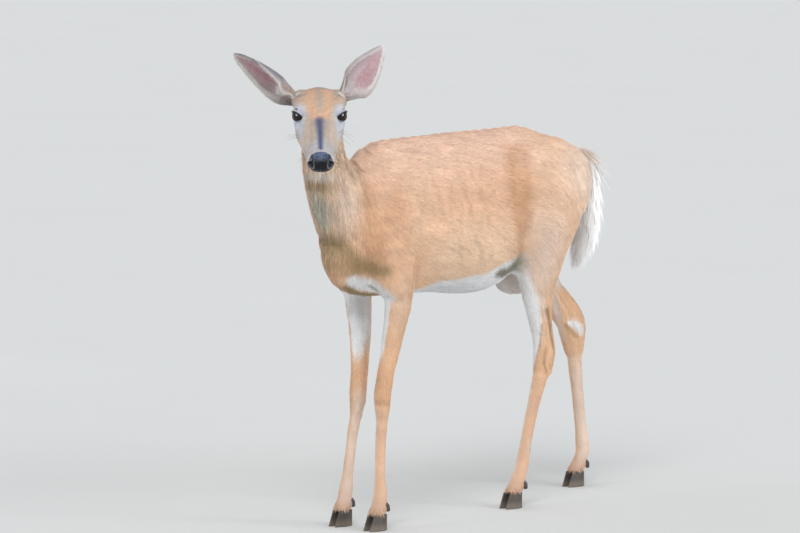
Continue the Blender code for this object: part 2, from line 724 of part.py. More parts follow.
def add_smoothing(obj, name, weights, rounds):
    group = obj.vertex_groups.new(name=name)
    for index in np.flatnonzero(weights > 0.01):
        group.add([int(index)], float(weights[index]), "REPLACE")
    smooth = obj.modifiers.new(name, "SMOOTH")
    smooth.factor = 0.5
    smooth.iterations = rounds
    smooth.vertex_group = name


def part_head(head, to_world, helpers):
    """The head, the lower jaw and the nose pad, parted from one another."""
    eyes = {}
    for side, s in SIDES.items():
        centre = (-s * EYE_CENTRE[0], EYE_CENTRE[1], EYE_CENTRE[2])
        eyes["eye_" + side] = ellipsoid("eye", centre, (EYE_RADIUS,) * 3, segments=16, matrix=to_world)
        socket_radii = (EYE_RADIUS + FIT_GAP,) * 3
        socket = ellipsoid("socket", centre, socket_radii, segments=16, matrix=to_world)
        head = boolean_mesh(head, socket, "DIFFERENCE", helpers)
    jaw, head = part_by_box(head, (-0.1, 0.150, -0.2), (0.1, 0.35, -0.0345), to_world, helpers)
    pad_centre, pad_radii = (0, 0.281, -0.006), Vector((0.0325, 0.039, 0.0270))
    pad = ellipsoid("pad", pad_centre, pad_radii, segments=18, matrix=to_world)
    hole = ellipsoid("pad_hole", pad_centre, pad_radii + Vector((FIT_GAP,) * 3), segments=18, matrix=to_world)
    nose = boolean_mesh(head, pad, "INTERSECT", helpers)
    head = boolean_mesh(head, hole, "DIFFERENCE", helpers)
    return {"head": head, "lower_jaw": jaw, "nose": nose, **eyes}


def part_legs(trunk, helpers):
    """Each leg cut from the trunk, parted at the knee or hock, and levelled off at the hoof's top."""
    parts = {}
    still = Matrix.Identity(4)
    for side, s in SIDES.items():
        for limb, inner, front, back, top, joint in (
            ("fore", 0.0005, -0.50, -0.19, 0.470, 0.212),
            ("hind", 0.030, 0.045, 0.60, 0.505, 0.262),
        ):
            low = (min(s * inner, s * 0.30), front, -0.1)
            high = (max(s * inner, s * 0.30), back, top)
            leg, trunk = part_by_box(trunk, low, high, still, helpers)
            keep_largest(leg)
            lower, upper = part_by_plane(leg, (0, 0, joint), (0, 0, 1))
            lower = behind_plane(lower, Vector((0, 0, HOOF_TOP + FIT_GAP)), Vector((0, 0, -1)))
            parts[f"{limb}_leg_upper_{side}"] = upper
            parts[f"{limb}_leg_lower_{side}"] = lower
    parts["trunk"] = trunk
    return parts


def make_feet(parts, helpers):
    """Two toes and two dewclaws on each foot."""
    made = {}
    for limb, prints in (("fore", FORE_HOOVES), ("hind", HIND_HOOVES)):
        for side, s in SIDES.items():
            leg = parts[f"{limb}_leg_lower_{side}"]
            x, y = prints[side]
            back = 0.011 if limb == "fore" else 0.020
            for toe, outward in TOES.items():
                name = f"{limb}_{side}_{toe}"
                made["hoof_" + name] = make_toe(name, (x, y), s * outward)
                made["dewclaw_" + name] = make_dewclaw(name, (x, y + back), s * outward, leg, helpers)
    return made


def lengthen_cannons(mesh):
    """Draws the shin bones out between fetlock and knee or hock, and lifts all that is above them."""
    points = np.empty(len(mesh.vertices) * 3, np.float32)
    mesh.vertices.foreach_get("co", points)
    places = points.reshape(-1, 3)
    places[:, 2] += CANNON_EXTRA * smoothstep(*CANNON_SPAN, places[:, 2])
    mesh.vertices.foreach_set("co", points)


def look_of(name):
    """(material name, look) of a node."""
    looks = {
        "eye": ("eye_gloss", EYE_GLOSS),
        "nose": ("nose_skin", NOSE_SKIN),
        "ear": ("ear_skin", EAR_SKIN),
        "tail": ("pale_coat", PALE_COAT),
        "hoof": ("horn", HORN),
        "dewclaw": ("horn", HORN),
    }
    return looks.get(name.split("_")[0], ("coat", COAT))


def finish(name, mesh, shift, deer):
    """Places one node's mesh and gives it its own material."""
    mesh.transform(Matrix.Translation(shift))
    mesh.materials.clear()
    slot, look = look_of(name)
    mesh.materials.append(make_material(f"{slot}_{name}", look))
    link_mesh(name, mesh, deer)


def main():
    clear_scene()
    deer = make_collection("white_tailed_deer")
    helpers = make_collection("helpers")
    to_world = head_matrix()
    skin = fused_skin(to_world, helpers)
    body, head = part_by_plane(skin, (0.0, -0.490, 0.856), (0.35, -0.35, 0.87))
    head = decimated(head, HEAD_TRIANGLES, helpers)
    body = decimated(body, BODY_TRIANGLES, helpers)
    trunk, neck = part_by_plane(body, (0, -0.430, 0.710), (0, -0.90, 0.43))
    parts = part_head(head, to_world, helpers)
    parts["neck"] = neck
    parts.update(part_legs(trunk, helpers))
    parts["tail"] = make_tail(trunk, helpers)
    for side in SIDES:
        parts["ear_" + side] = make_ear(side, to_world, head, helpers)
    parts.update(make_feet(parts, helpers))
    for mesh in parts.values():
        lengthen_cannons(mesh)
    points = np.array([v.co for mesh in parts.values() for v in mesh.vertices])
    low, high = points.min(axis=0), points.max(axis=0)
    shift = Vector((-(low[0] + high[0]) / 2, -(low[1] + high[1]) / 2, -low[2]))
    for name, mesh in parts.items():
        finish(name, mesh, shift, deer)
    helpers.hide_render = True
    print("SHIFT", tuple(round(v, 5) for v in shift), "SIZE", tuple(round(v, 4) for v in high - low))


main()
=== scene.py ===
"""A white-tailed doe as a life-size museum model: one skin, her coat, ears, eyes, nose, hooves and tail."""

import logging
import math
from dataclasses import dataclass, field
from enum import Enum
from typing import Any

import bmesh
import bpy
import numpy as np
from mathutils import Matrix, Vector


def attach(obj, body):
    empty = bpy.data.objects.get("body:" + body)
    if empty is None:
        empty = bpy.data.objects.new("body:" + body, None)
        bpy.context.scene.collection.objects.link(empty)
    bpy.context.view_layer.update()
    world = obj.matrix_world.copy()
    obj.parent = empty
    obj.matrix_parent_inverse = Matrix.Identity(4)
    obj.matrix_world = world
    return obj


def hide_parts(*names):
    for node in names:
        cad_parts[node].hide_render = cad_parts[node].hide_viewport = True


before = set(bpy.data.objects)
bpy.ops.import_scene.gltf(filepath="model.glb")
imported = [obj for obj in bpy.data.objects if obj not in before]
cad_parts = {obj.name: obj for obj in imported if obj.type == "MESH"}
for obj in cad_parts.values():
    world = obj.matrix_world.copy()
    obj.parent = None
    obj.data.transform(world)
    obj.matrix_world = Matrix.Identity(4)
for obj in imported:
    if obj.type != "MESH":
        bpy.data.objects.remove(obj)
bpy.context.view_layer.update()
LOG = logging.getLogger("doe")
Array, Chance = np.ndarray, np.random.Generator
Material, Piece = bpy.types.Material, bpy.types.Object
MIDDLE = -0.0288  # where the plane that parts her left from her right stands across the frame
SEED = 5  # of the chance in her lashes, ears and tail


class Side(Enum):
    """Her two sides, each with the sign that it has across the head's axes, where her right is positive."""

    LEFT = -1.0
    RIGHT = 1.0


# ---- arithmetic on arrays


def smoothstep(low: float | Array, high: float | Array, value: Array) -> Array:
    """A smooth ramp.

    Args:
        low: Where the ramp is still 0.
        high: Where it has reached 1.
        value: Numbers to send through the ramp.

    Returns:
        3t^2 - 2t^3, with t the place between low and high, held to 0..1.
    """
    t = np.clip((value - low) / (high - low), 0.0, 1.0)
    return t * t * (3.0 - 2.0 * t)


def unit(vectors: Array) -> Array:
    """Each row divided by its own length."""
    return vectors / np.maximum(np.linalg.norm(vectors, axis=-1, keepdims=True), 1e-12)


def blend(first: Array, second: Array, amount: Array) -> Array:
    """Rows that go from first to second as amount goes from 0 to 1."""
    return first + (second - first) * np.asarray(amount)[..., None]


def tone(red: float, green: float, blue: float) -> Array:
    """A colour as light values, from its three display values of 0 to 255, by the sRGB curve."""
    shown = np.array((red, green, blue)) / 255.0
    return np.where(shown > 0.04045, ((shown + 0.055) / 1.055) ** 2.4, shown / 12.92)


def along_surface(directions: Array, normals: Array) -> Array:
    """The directions with their part along the normals taken out, each of length 1."""
    return unit(directions - normals * (directions * normals).sum(axis=1, keepdims=True))


def circle(count: int) -> Array:
    """Angles evenly round one turn."""
    return np.linspace(0, 2 * np.pi, count, endpoint=False)


def falling(low: float | Array, high: float | Array, value: Array) -> Array:
    """1 up to low, and 0 from high on."""
    return 1 - smoothstep(low, high, value)


def fading(low: float, high: float, angle: Array) -> Array:
    """1 up to an angle of low degrees, and 0 from high degrees on."""
    return falling(math.radians(low), math.radians(high), angle)


def band(start: float, full: float, last: float, end: float, value: Array) -> Array:
    """0 up to start, 1 from full to last, and 0 again from end on."""
    return smoothstep(start, full, value) * falling(last, end, value)


def bell(*away: Array) -> Array:
    """1 where all of these are 0, and 1/e where the sum of their squares is 1."""
    return np.exp(-sum(part**2 for part in away))


def vectors(*parts: Array | float) -> Array:
    """Rows of three from their three parts, of which at least one is an array."""
    return np.stack(np.broadcast_arrays(*parts), 1)


@dataclass(frozen=True)
class Mottle:
    """An irregular smooth variation in space: a sum of cosine waves in random directions.

    Attributes:
        wavelength: The usual distance from one light place to the next.
        seed: Which pattern.
        stretch: How much longer the pattern is along each axis.
    """

    wavelength: float
    seed: int
    stretch: tuple[float, float, float] = (1.0, 1.0, 1.0)
    waves: int = 18

    def at(self, points: Array) -> Array:
        """The variation at each point, about 1 in size either way."""
        rng = np.random.default_rng(self.seed)
        pace = rng.uniform(0.7, 1.6, (self.waves, 1)) * 2.0 * np.pi / self.wavelength
        vectors = unit(rng.normal(size=(self.waves, 3))) * pace / np.array(self.stretch)
        phases = rng.uniform(0.0, 2.0 * np.pi, self.waves)
        total = np.zeros(len(points))
        for vector, phase in zip(vectors, phases):
            total += np.cos(points @ vector + phase)
        return total / math.sqrt(self.waves / 2.0)


def cell_chance(cells: Array, seed: int) -> Array:
    """A value from -1 to 1 for each cell of space, stirred from its three whole numbers and the seed."""
    mixed = cells @ np.array((73856093, 19349663, 83492791)) + seed * 2654435761
    for shift, factor in ((13, 1274126177), (16, 1103515245)):
        mixed = (mixed ^ (mixed >> shift)) * factor & 0x3FFFFFFF
    return mixed / 2.0**29 - 1.0


def streaks(points: Array, ways: Array, cell: float, reach: float, seed: int) -> Array:
    """Streaks along the hair: every small cell of space has a chance value, averaged along the hair's way.

    Args:
        points: Places.
        ways: The way that the hair lies at each of them.
        cell: Side of the cells, which is a streak's breadth.
        reach: Half of a streak's length.
        seed: Which pattern.

    Returns:
        Numbers around 0 with a spread of 1.
    """
    steps = 9
    total = np.zeros(len(points))
    for place in np.linspace(-reach, reach, steps):
        total += cell_chance(np.floor((points + ways * place) / cell).astype(np.int64), seed)
    return total / math.sqrt(steps / 3.0)


# ---- meshes


def corner_normals(points: Array, triangles: Array) -> Array:
    """The surface's direction at each point: the sum of its triangles' crosses, made of length 1."""
    a, b, c = (points[triangles[:, i]] for i in range(3))
    crosses = np.cross(b - a, c - a)
    total = np.zeros_like(points)
    for i in range(3):
        for axis in range(3):
            total[:, axis] += np.bincount(triangles[:, i], crosses[:, axis], len(points))
    return unit(total)


def faired(points: Array, edges: Array, rounds: int, weight: Array | float = 1.0) -> Array:
    """The points smoothed without thinning the limbs.

    Each round moves every point half of the way to the mean of its neighbours, and then
    a little more than that back out, so small facets go and large forms keep their size.

    Args:
        points: Places of the points.
        edges: Pairs of neighbours.
        rounds: How many rounds.
        weight: Share of the move that each point makes.

    Returns:
        The new places.
    """
    degree = np.bincount(edges.ravel(), minlength=len(points)).clip(1)[:, None]
    share = np.broadcast_to(np.asarray(weight, float), (len(points),))[:, None]
    first, second = edges[:, 0], edges[:, 1]
    inwards, outwards = 0.5, -0.52
    for step in (inwards, outwards) * rounds:
        total = np.empty_like(points)
        for axis in range(3):
            total[:, axis] = np.bincount(first, points[second, axis], len(points))
            total[:, axis] += np.bincount(second, points[first, axis], len(points))
        points = points + (total / degree - points) * (step * share)
    return points


@dataclass(frozen=True)
class Stance:
    """How she stands: every place in this script is given as if her shins were shorter, and drawn out here.

    Attributes:
        back: How far all of her is moved back.
        extra: How much longer her shins are.
        low: Height at which the drawing out starts.
        high: Height at which it is done.
    """

    back: float = 0.0052
    extra: float = 0.038
    low: float = 0.099
    high: float = 0.213

    def outside(self, points: Array) -> Array:
        """Places in the frame, from the script's own."""
        done = points + np.array((0.0, self.back, 0.0))
        done[:, 2] += self.extra * smoothstep(self.low, self.high, points[:, 2])
        return done

    def inside(self, points: Array) -> Array:
        """The script's own places, from those in the frame."""
        heights = np.linspace(self.low, self.high, 65)
        raised = heights + self.extra * smoothstep(self.low, self.high, heights)
        done = points - np.array((0.0, self.back, 0.0))
        above = points[:, 2] - self.extra
        done[:, 2] = np.where(above > self.high, above, np.interp(points[:, 2], raised, heights))
        done[:, 2] = np.where(points[:, 2] < self.low, points[:, 2], done[:, 2])
        return done


STANCE = Stance()


def placed(name: str, mesh: bpy.types.Mesh, material: Material) -> Piece:
    """An object with this mesh and finish, smooth, on the one body."""
    mesh.materials.append(material)
    mesh.polygons.foreach_set("use_smooth", np.full(len(mesh.polygons), True))
    piece = bpy.data.objects.new(name, mesh)
    bpy.context.scene.collection.objects.link(piece)
    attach(piece, "root")
    return piece


def new_piece(name: str, points: Array, faces: Array, material: Material) -> Piece:
    """A mesh object of faces that all have as many corners.

    Args:
        name: The piece's name.
        points: Places of its points, in metres.
        faces: Rows of point numbers, seen anticlockwise from outside.
        material: Its finish.

    Returns:
        The object.
    """
    mesh = bpy.data.meshes.new(name)
    count, corners = faces.shape
    mesh.vertices.add(len(points))
    mesh.vertices.foreach_set("co", np.ascontiguousarray(STANCE.outside(points), np.float32).ravel())
    mesh.loops.add(count * corners)
    mesh.loops.foreach_set("vertex_index", np.ascontiguousarray(faces, np.int32).ravel())
    mesh.polygons.add(count)
    mesh.polygons.foreach_set("loop_start", np.arange(0, count * corners, corners, dtype=np.int32))
    mesh.update(calc_edges=True)
    return placed(name, mesh, material)


def put_colours(piece: Piece, colours: Array) -> None:
    """Stores one colour for each point of the piece, as the attribute Coat."""
    layer = piece.data.color_attributes.new("Coat", "FLOAT_COLOR", "POINT")
    full = np.ones((len(colours), 4), np.float32)
    full[:, :3] = np.clip(colours, 0.0, 1.0)
    layer.data.foreach_set("color", full.ravel())


def put_map(piece: Piece, corner_places: Array) -> None:
    """Stores the flat map OFBake, one place for each corner of each face."""
    layer = piece.data.uv_layers.new(name="OFBake")
    layer.uv.foreach_set("vector", np.ascontiguousarray(corner_places, np.float32).ravel())


def grid_faces(rows: int, columns: int, wrap: bool) -> Array:
    """The quads of a grid of points.

    Args:
        rows: How many rows of points.
        columns: How many points in a row.
        wrap: Whether the last column joins the first one.

    Returns:
        Rows of four point numbers.
    """
    i = np.arange(rows - 1)[:, None]
    j = np.arange(columns if wrap else columns - 1)[None, :]
    right = (j + 1) % columns
    below, above = i * columns, (i + 1) * columns
    return np.stack([below + j, below + right, above + right, above + j], -1).reshape(-1, 4)


def read(items: Any, name: str, width: int, kind: type) -> Array:
    """A value of every item of a mesh's data, as rows with this many numbers."""
    values = np.empty(len(items) * width, kind)
    items.foreach_get(name, values)
    return values.reshape(-1, width)


def solid_copy(names: list[str]) -> tuple[Array, Array]:
    """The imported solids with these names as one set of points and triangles, their doubles merged."""
    points, triangles, start = [], [], 0
    for name in names:
        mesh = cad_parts[name].data
        mesh.calc_loop_triangles()
        corners = read(mesh.loop_triangles, "vertices", 3, np.int32)
        places = read(mesh.vertices, "co", 3, np.float32).round(5)
        merged, index = np.unique(places, axis=0, return_inverse=True)
        points.append(STANCE.inside(merged.astype(float)))
        triangles.append(index.reshape(-1)[corners] + start)
        start += len(merged)
    return np.concatenate(points), np.concatenate(triangles)


def remeshed(
    points: Array, faces: Array, size: float, detail: tuple[Array, Array] | None = None
) -> tuple[Array, Array, Array]:
    """One closed surface round overlapping closed forms.

    Args:
        points: Places of the forms' points.
        faces: Their faces.
        size: Side of the cells.
        detail: Centres and reaches of the balls in which every face is cut in four.

    Returns:
        Points, triangles and edges of the surface.
    """
    mesh = bpy.data.meshes.new("rough")
    mesh.from_pydata(points.tolist(), [], faces.tolist())
    rough = bpy.data.objects.new("rough", mesh)
    bpy.context.scene.collection.objects.link(rough)
    cells = rough.modifiers.new("cells", "REMESH")
    cells.mode, cells.voxel_size = "VOXEL", size
    surface = bmesh.new()
    surface.from_mesh(rough.evaluated_get(bpy.context.evaluated_depsgraph_get()).to_mesh())
    bpy.data.objects.remove(rough)
    bpy.data.meshes.remove(mesh)
    for centre, reach in zip(*detail) if detail else ():
        middle = Vector(centre)
        near = [e for e in surface.edges if (e.verts[0].co - middle).length < reach]
        bmesh.ops.subdivide_edges(surface, edges=near, cuts=1, use_grid_fill=True)
    bmesh.ops.triangulate(surface, faces=surface.faces)
    done = bpy.data.meshes.new("done")
    surface.to_mesh(done)
    surface.free()
    places = read(done.vertices, "co", 3, np.float32).astype(float)
    triangles = read(done.polygons, "vertices", 3, np.int32)
    edges = read(done.edges, "vertices", 2, np.int32)
    bpy.data.meshes.remove(done)
    return places, triangles, edges


# ---- where things are


@dataclass(frozen=True)
class HeadAxes:
    """The head's own axes: her right, forward along the nose, and up, from a point inside the skull."""

    origin: tuple[float, float, float] = (-0.0256, -0.4092, 0.968)
    turn: float = math.radians(47.0)
    dip: float = math.radians(27.0)

    @property
    def rows(self) -> Array:
        """The three axes as rows: her right, forward, up."""
        right = np.array((-math.cos(self.turn), -math.sin(self.turn), 0.0))
        forward = np.array((math.sin(self.turn), -math.cos(self.turn), 0.0)) * math.cos(self.dip)
        forward[2] = -math.sin(self.dip)
        return np.stack([right, forward, np.cross(right, forward)])

    def inside(self, points: Array) -> Array:
        """Frame places as places in the head's axes."""
        return (points - np.array(self.origin)) @ self.rows.T

    def outside(self, places: Array) -> Array:
        """Places in the head's axes as frame places."""
        return places @ self.rows + np.array(self.origin)

    def turned(self, directions: Array) -> Array:
        """Directions in the head's axes as frame directions."""
        return directions @ self.rows


HEAD = HeadAxes()


def beyond(points: Array, plane: tuple[float, ...], way: tuple[float, ...]) -> Array:
    """How far each point is beyond the plane through a place, the way that it faces."""
    return (points - np.array(plane)) @ (np.array(way) / np.linalg.norm(way))


@dataclass(frozen=True)
class Regions:
    """Soft masks that say which part of her a place belongs to."""

    head_plane: tuple[float, float, float] = (-0.0288, -0.3944, 0.881)
    head_way: tuple[float, float, float] = (0.35, -0.35, 0.87)
    neck_plane: tuple[float, float, float] = (-0.0288, -0.3344, 0.735)
    neck_way: tuple[float, float, float] = (0.0, -0.9, 0.43)

    def head(self, points: Array) -> Array:
        """1 on the head, falling to 0 over the top of the neck."""
        past = smoothstep(-0.018, 0.018, beyond(points, self.head_plane, self.head_way))
        return past * smoothstep(0.7, 0.76, points[:, 2])

    def neck(self, points: Array) -> Array:
        """1 on the neck and the head, falling to 0 over the shoulders."""
        return smoothstep(-0.045, 0.045, beyond(points, self.neck_plane, self.neck_way))

    def fore_leg(self, points: Array) -> Array:
        """1 on the two fore legs below the elbow, falling to 0 above it."""
        return falling(0.46, 0.6, points[:, 2]) * (points[:, 1] < -0.1)

    def hind_leg(self, points: Array) -> Array:
        """1 on the two hind legs below the stifle, falling to 0 over the haunch."""
        return falling(0.46, 0.64, points[:, 2]) * (points[:, 1] > 0.1)


REGIONS = Regions()


# ---- markings


@dataclass(frozen=True)
class Patch:
    """A soft patch of colour.

    Attributes:
        centre: Its middle, in millimetres.
        reach: Half of its size along each axis, in millimetres.
        colour: What it turns the coat to.
        strength: How far it does so in its middle.
        fade: Share of its size over which it fades, inside and outside its edge.
        both: Whether it is on both sides of her.
    """

    centre: tuple[float, float, float]
    reach: tuple[float, float, float]
    colour: Array
    strength: float = 1.0
    fade: float = 0.35
    both: bool = True

    def over(self, colours: Array, places: Array, middle: float) -> Array:
        """The colours with this patch laid over them.

        Args:
            colours: Colours so far.
            places: Where they are, in the patch's own axes.
            middle: Where her middle plane is across those axes.

        Returns:
            The new colours: covered where the distance from the centre, in reaches, is under 1.
        """
        centre, reach = np.array((self.centre, self.reach)) / 1000
        away = places - centre
        if self.both:
            away[:, 0] = np.abs(places[:, 0] - middle) - abs(centre[0] - middle)
        far = np.linalg.norm(away / reach, axis=1)
        cover = self.strength * falling(1.0 - self.fade, 1.0 + self.fade, far)
        return blend(colours, self.colour, cover)


@dataclass(frozen=True)
class Stroke:
    """A soft line of colour drawn along a path.

    Attributes:
        path: Places that it runs through, in millimetres.
        half: Its half-breadth at the first place and at the last, in millimetres.
        colour: What it turns the coat to.
        strength: How far it does so along its middle.
        fade: Share of its breadth over which it fades, inside and outside its edge.
        both: Whether it is on both sides of her.
    """

    path: tuple[tuple[float, float, float], ...]
    half: tuple[float, float]
    colour: Array
    strength: float = 0.8
    fade: float = 0.5
    both: bool = True

    def over(self, colours: Array, places: Array, middle: float) -> Array:
        """The colours with this line laid over them, by each place's distance from its path."""
        spots, path, half = places, np.array(self.path) / 1000, np.array(self.half) / 1000
        if self.both:
            spots = np.column_stack([np.abs(places[:, 0] - middle), places[:, 1:]])
            path[:, 0] = np.abs(path[:, 0] - middle)
        room = max(half) * (1 + self.fade)
        near = np.flatnonzero(((spots > path.min(0) - room) & (spots < path.max(0) + room)).all(1))
        if not len(near):
            return colours
        least = np.full(len(near), np.inf)
        for step in range(len(path) - 1):
            run = path[step + 1] - path[step]
            from_start = spots[near] - path[step]
            t = np.clip(from_start @ run / run.dot(run), 0.0, 1.0)
            away = np.linalg.norm(from_start - t[:, None] * run, axis=1)
            share = (step + t) / (len(path) - 1)
            least = np.minimum(least, away / (half[0] + (half[1] - half[0]) * share))
        cover = self.strength * falling(1 - self.fade, 1 + self.fade, least)
        done = colours.copy()
        done[near] = blend(colours[near], self.colour, cover)
        return done


def hue(red: float, green: float, blue: float) -> Any:
    """A dataclass field that holds the colour with these display values."""
    return field(default_factory=lambda: tone(red, green, blue))


@dataclass(frozen=True)
class Markings:
    """Her summer coat's colours, as light values, and where each of them lies, with painted shade in some
    hollows and creases and a painted highlight along the top of the back.
    """

    tan: Array = hue(231, 190, 156)
    back: Array = hue(238, 202, 178)
    flank: Array = hue(240, 208, 178)
    haunch: Array = hue(238, 202, 172)
    rump: Array = hue(244, 222, 204)
    neck: Array = hue(236, 208, 180)
    leg: Array = hue(232, 190, 152)
    cannon: Array = hue(228, 188, 158)
    pale: Array = hue(236, 216, 200)
    pastern: Array = hue(198, 164, 142)
    white: Array = hue(242, 243, 244)
    milk: Array = hue(226, 221, 216)
    grey: Array = hue(186, 186, 172)
    olive: Array = hue(152, 128, 84)
    moss: Array = hue(136, 120, 78)
    # brown: laid as painted shade in the creases under the knees and in the hind legs' grooves and hollows
    brown: Array = hue(164, 118, 74)
    # amber: a darker orange-brown, laid as painted shade in the fold before the haunch, in the groove before
    # the shoulder and over the knees
    amber: Array = hue(206, 158, 118)
    # dusk: a dark olive-grey, laid in the groin as painted shade over darker hair
    dusk: Array = hue(126, 122, 102)
    face: Array = hue(194, 178, 160)
    cheek: Array = hue(210, 200, 190)
    muzzle: Array = hue(184, 181, 184)
    brow: Array = hue(222, 176, 144)
    crown: Array = hue(180, 158, 142)
    slate: Array = hue(56, 74, 116)
    smudge: Array = hue(118, 96, 78)
    ink: Array = hue(70, 62, 60)
    blush: Array = hue(226, 206, 196)
    frost: Array = hue(204, 209, 221)

    def trunk_marks(self) -> list[Patch | Stroke]:
        """The marks of the trunk and neck, in the frame's axes."""
        return [
            # Painted shade: a darker amber band down the fold before the haunch, and more faintly over the
            # haunch's front.
            Stroke(((53, 160, 822), (80, 144, 713), (88, 142, 655), (78, 160, 595)),
                   (32, 34), self.amber, 0.8, 0.95),
            Patch((85, 195, 695), (45, 50, 110), self.amber, 0.3, 0.9),
            Patch((55, 390, 760), (50, 85, 70), self.rump, 0.85, 0.8),
            # Painted shade: amber down the groove before the shoulder.
            Stroke(((19, -300, 775), (42, -312, 720), (55, -319, 661), (58, -310, 615)),
                   (14, 22), self.amber, 0.6, 0.9),
            Patch((62, -250, 715), (50, 55, 75), self.amber, 0.3, 0.9),
            Patch((80, 20, 760), (60, 110, 45), self.amber, 0.18, 0.9),
            Stroke(((60, -210, 790), (72, -200, 700), (66, -200, 620)), (30, 20), self.flank, 0.35, 0.9),
            Patch((-18, -430, 785), (30, 50, 20), self.olive, 0.7, 0.7, False),
            Patch((-21, -415, 722), (24, 50, 46), self.grey, 0.9, 0.5, False),
            Patch((-25, -385, 652), (32, 45, 26), self.moss, 0.7, 0.7, False),
            Patch((-28.8, -370, 612), (34, 45, 34), self.olive, 0.5, 0.8, False),
            Stroke(((0, -367, 650), (15, -349, 626), (32, -335, 602), (62, -290, 578)),
                   (15, 17), self.olive, 0.66, 0.9),
            Patch((24, -338, 596), (30, 40, 24), self.olive, 0.55, 0.8),
            Stroke(((-6, -340, 534), (-14, -310, 515), (-20, -240, 502)), (18, 22), self.moss, 0.8, 0.6),
            Stroke(((10, -338, 560), (23, -313, 545), (35, -262, 510)), (17, 23), self.white, 0.95, 0.55),
            Stroke(((26, -306, 545), (22, -264, 514)), (3, 4), self.dusk, 0.6, 0.8),
            # Darker hair in the groin, deepened by painted shade.
            Stroke(((66, 88, 536), (60, 120, 540), (58, 150, 556)), (14, 26), self.dusk, 0.95, 0.75),
            Patch((86, 228, 595), (50, 55, 85), self.milk, 0.38, 0.9),
            Patch((24, -373, 735), (24, 30, 60), self.milk, 0.3, 0.9),
            Patch((-8, -425, 803), (40, 30, 12), self.milk, 0.6, 0.6, False),
            Patch((-28.8, 215, 500), (50, 85, 50), self.blush, 0.8, 0.6, False),
            Patch((-28.8, 190, 484), (40, 60, 22), self.milk, 0.7, 0.7, False),
            # Painted shade in front of the udder.
            Patch((0, 165, 530), (22, 34, 30), self.dusk, 0.6, 0.8),
            Patch((66, -185, 580), (30, 26, 50), self.amber, 0.45, 0.8),
            Patch((30, 455, 660), (22, 50, 110), self.white, 0.55, 0.7),
            Patch((0, 474, 800), (30, 20, 20), self.white, 0.6, 0.8),
        ]

    def leg_marks(self) -> list[Patch | Stroke]:
        """The marks of the legs, in the frame's axes."""
        marks = [
            # Painted shade at each fore knee: amber over it and brown in the crease below it.
            Patch((26, -254, 302), (35, 30, 34), self.amber, 0.45, 0.7),
            Patch((26, -258, 262), (30, 20, 6), self.brown, 0.45, 0.9),
            # The brown strokes on the hind legs are painted shade in their grooves and hollows, between shin
            # bone and tendon and about the hocks.
            Stroke(((70, 251, 440), (62, 273, 389), (58, 286, 345)), (6, 4), self.brown, 0.8, 0.8, False),
            Stroke(((64, 240, 405), (51, 246, 350), (34, 247, 300)), (2.8, 2), self.brown, 0.55, 0.8, False),
            Stroke(((-128, 500, 430), (-124, 530, 390), (-120, 548, 350)),
                   (5, 4), self.brown, 0.5, 0.8, False),
            Stroke(((61, 258, 345), (55, 257, 309), (54, 266, 288)), (4, 4), self.brown, 0.6, 0.8, False),
            Stroke(((-80, 440, 462), (-86, 462, 410), (-94, 482, 372)), (4, 3), self.brown, 0.55, 0.8, False),
            Stroke(((-88, 440, 440), (-97, 468, 390), (-102, 492, 335)),
                   (12, 8), self.blush, 0.55, 0.9, False),
            Stroke(((-88, 504, 372), (-89, 528, 364), (-88, 545, 350)),
                   (9, 13), self.white, 0.95, 0.5, False),
            Stroke(((-92, 492, 366), (-89, 508, 352), (-87, 526, 336)), (5, 6), self.brown, 0.55, 0.8, False),
            Stroke(((-78, 430, 470), (-86, 452, 420), (-92, 470, 385)), (10, 8), self.milk, 0.45, 0.9, False),
            Patch((75, 205, 505), (35, 40, 60), self.milk, 0.3, 0.9),
            Patch((58, -231, 483), (34, 34, 60), self.milk, 0.2, 0.9),
        ]
        for x, y in ((42, 226), (-108, 527)):
            marks.append(Patch((x, y, 128), (10, 10, 16), self.pale, 0.7, 0.6, False))
            marks.append(Patch((x, y, 128), (4, 3.5, 7), self.smudge, 0.35, 0.7, False))
        return marks

    def head_marks(self) -> list[Patch | Stroke]:
        """The marks of the head, in the head's axes."""
        return [
            Patch((34, 150, -20), (26, 60, 30), self.cheek, 0.8, 0.7),
            Stroke(((30, 168, 2), (31, 192, -3)), (10, 8), self.brow, 0.35, 0.9),
            Stroke(((44, 140, -30), (34, 170, -24)), (10, 8), self.brow, 0.28, 0.9),
            Stroke(((17, 130, 25), (18, 170, 17), (17, 215, 10)), (8, 7), self.crown, 0.5, 0.8),
            Stroke(((10, 124, 30), (19, 98, 34), (21, 60, 34), (16, 18, 30)), (13, 11), self.brow, 0.8, 0.9),
            Stroke(((0, 92, 40), (0, 30, 36)), (7, 8.5), self.crown, 0.6, 0.9),
            Patch((46.5, 97.5, 8), (22.5, 32, 28), self.frost, 0.92, 0.32),
            Patch((44, 126, -14), (14, 20, 18), self.frost, 0.6, 0.6),
            Stroke(((46, 55, 26), (36, 88, 36)), (6, 4), self.brow, 0.45, 0.8),
            Stroke(((46, 110, 2), (44, 121, -6), (42, 131, -14)), (1, 0.7), self.ink, 0.6, 0.7),
            Stroke(((50, 105, -10), (46, 118, -14), (43, 124, -20)), (0.9, 0.7), self.smudge, 0.4, 0.7),
            Patch((0, 232, 13), (30, 26, 18), self.muzzle, 0.85, 0.8),
            Patch((0, 262, -14), (43, 15, 30), self.frost, 0.7, 0.6),
            Patch((0, 262, -34), (40, 34, 20), self.white, 0.95, 0.3),
            Patch((0, 205, -62), (40, 85, 30), self.white, 0.92, 0.25),
            Patch((0, 80, -85), (40, 80, 32), self.white, 0.8, 0.4),
            Stroke(((1.5, 140.5, 28), (0, 180, 19), (0, 236, 11)), (10.4, 4.4), self.slate, 0.95, 1.0, False),
            Patch((48, 24, 4), (10, 12, 24), self.white, 0.75, 0.5),
            Patch((44, 36, 24), (7, 8, 8), self.smudge, 0.55, 0.7),
            Patch((52, 60, 12), (12, 16, 14), self.cheek, 0.5, 0.7),
        ]

